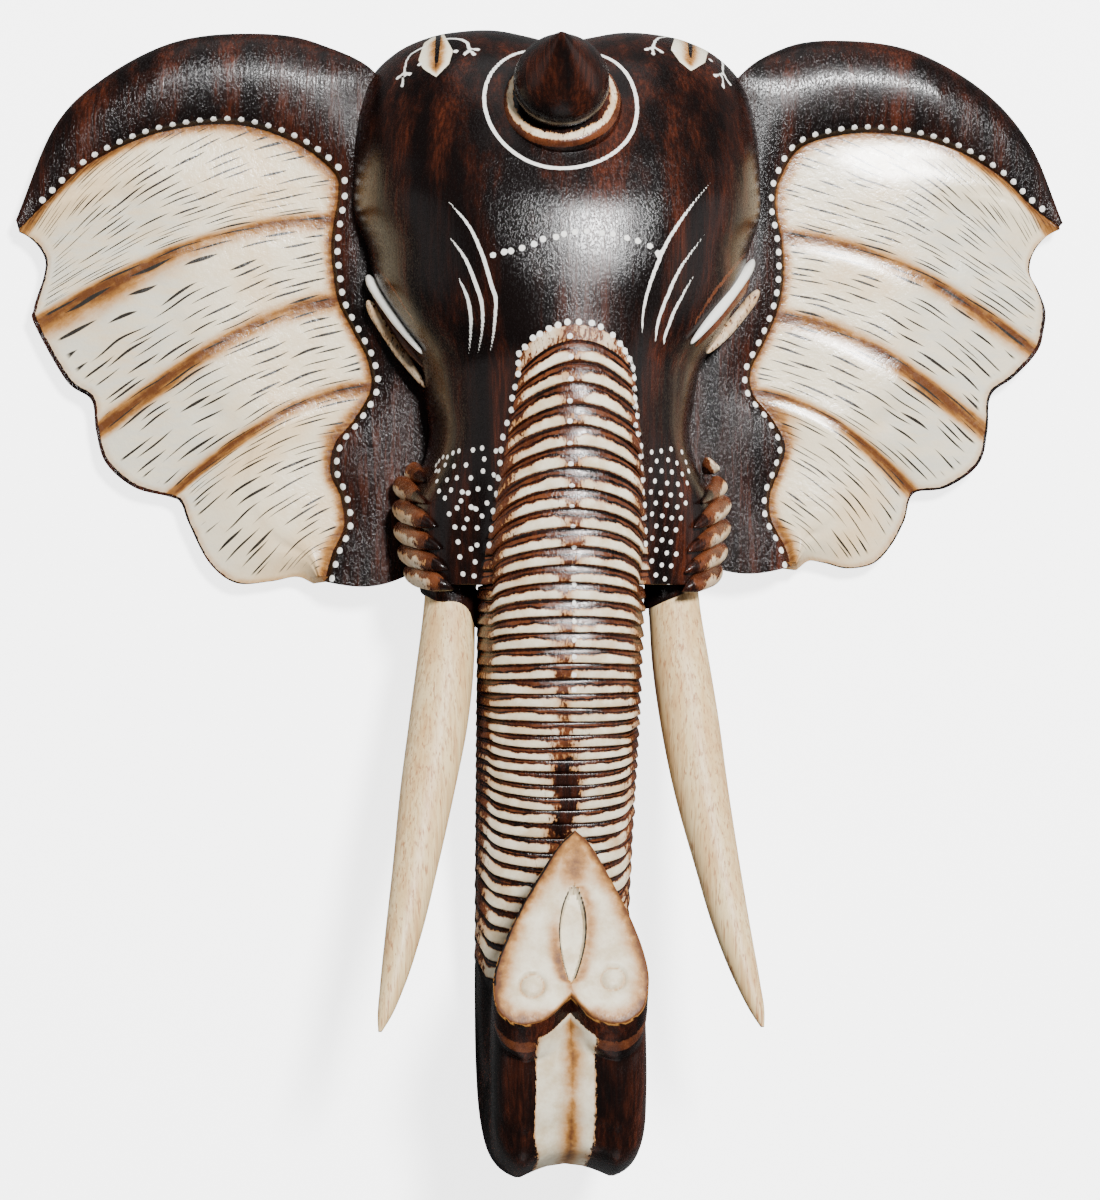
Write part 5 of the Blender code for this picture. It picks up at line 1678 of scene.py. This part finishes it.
# %% Cuffs round the tusks
SOCKET_ROWS = [(15, 12.7), (3, 13.2), (0.8, 13.3), (-0.6, 12.9), (-1.1, 12.3), (-0.4, 11.6), (3, 11.2),
               (15, 10.8), (15, 12.7)]
SOCKET_PLACES = 33
SOCKET_TURNS = 72
SOCKETS = [(-46.4, -6.5, 46.0, -0.62), (52.2, 0.0, 46.0, 0.45)]


def socket_surface(x, y, z, slope):
    """Cuff round a tusk: a closed profile (height, radius) carried round, its rim tilted by the slope."""
    rows = smooth_path(SOCKET_ROWS, SOCKET_PLACES)
    turn = np.linspace(0, math.tau, SOCKET_TURNS, endpoint=False)
    across = rows[:, 1:] * np.cos(turn)
    outward = 0.94 * rows[:, 1:] * np.sin(turn)
    return np.stack([x + across, y + slope * across + rows[:, :1], z + outward], axis=-1)


head_rods("tusk_sockets", [socket_surface(*values) for values in SOCKETS], {})

# %% Tusks
for side, node in ((-1, "left_tusk"), (1, "right_tusk")):
    level = np.linspace(TUSK_ROWS[0][0], TUSK_ROWS[-1][0], TUSK_LEVELS)
    turn = np.linspace(0, math.tau, TUSK_TURNS, endpoint=False)
    points, faces = join_grids([close_ends(tusk_surface(side, level, turn))], [True])
    mesh_piece(node + "_wood", points, faces, {}, bare_wood, [node], 60)

# %% [markdown]
# ## Floor and light
# The mask was pictured on a plain pale ground in a soft light that comes from above on the right. A pale
# floor alone throws a grey sheen on the dark lacquer, and a darker one would show in the picture. So this
# floor shines a little for the camera and is dark for reflections, while its shadows stay.

# %% Floor
FLOOR_HALF = 9.0
FLOOR_Z = -0.0006
FLOOR_PALE = (0.90, 0.90, 0.90)
FLOOR_MIRRORED = (0.06, 0.06, 0.06)
FLOOR_GLOW = 3.4


def build_floor():
    """A square of plain floor just under the mask."""
    mesh = bpy.data.meshes.new("floor")
    corners = [(-FLOOR_HALF, -FLOOR_HALF, FLOOR_Z), (FLOOR_HALF, -FLOOR_HALF, FLOOR_Z),
               (FLOOR_HALF, FLOOR_HALF, FLOOR_Z), (-FLOOR_HALF, FLOOR_HALF, FLOOR_Z)]
    mesh.from_pydata(corners, [], [(0, 1, 2, 3)])
    material, tree, shader = start_material("pale_floor")[:3]
    ray = add_node(tree, "ShaderNodeLightPath")
    colour = mix_colour(tree, ray.outputs["Is Glossy Ray"], FLOOR_PALE, FLOOR_MIRRORED)
    wire(tree, colour, shader.inputs["Base Color"])
    shader.inputs["Roughness"].default_value = 0.9
    shader.inputs["Emission Color"].default_value = (1, 1, 1, 1)
    glow = times(tree, ray.outputs["Is Camera Ray"], FLOOR_GLOW)
    wire(tree, glow, shader.inputs["Emission Strength"])
    mesh.materials.append(material)
    item = bpy.data.objects.new("floor", mesh)
    bpy.context.scene.collection.objects.link(item)
    print("floor:", 2 * FLOOR_HALF, "m wide")


build_floor()

# %% [markdown]
# ## Lights
# One round lamp high on the right, beyond the crown, gives the round shine on the forehead and the shadows to
# the lower left. Four weak, wide lamps stand low around the mask as the walls of a pale room do, and put long
# soft highlights on the rims, the ribs and the lobes. The pale world fills the shadows. An environment
# picture could do all this at once, but lamps can be moved one by one.

# %% Lights
LIGHT_AIM = (0, 0, 0.05)
LIGHTS = [
    ("key", (0.46, 0.86, 2.05), 0.42, 132),
    ("left_wall", (-2.3, 0.2, 0.7), 1.6, 4),
    ("right_wall", (2.3, 0.2, 0.7), 1.6, 7),
    ("top_wall", (0.0, 2.3, 0.7), 1.6, 9),
    ("bottom_wall", (0.0, -2.3, 0.7), 1.6, 6),
]
WORLD_STRENGTH = 0.09


def add_light(name, place, size, power):
    """A round lamp of the given width and power that looks at the middle of the mask."""
    light = bpy.data.lights.new(name, "AREA")
    light.shape = "DISK"
    light.size = size
    light.energy = power
    item = bpy.data.objects.new(name, light)
    bpy.context.scene.collection.objects.link(item)
    item.location = place
    item.rotation_euler = (Vector(LIGHT_AIM) - Vector(place)).to_track_quat("-Z", "Y").to_euler()


for values in LIGHTS:
    add_light(*values)
world = bpy.data.worlds.new("pale_room")
world.use_nodes = True
background = world.node_tree.nodes["Background"]
background.inputs["Color"].default_value = (1, 1, 1, 1)
background.inputs["Strength"].default_value = WORLD_STRENGTH
bpy.context.scene.world = world
print("lights:", [light.name for light in bpy.data.lights])
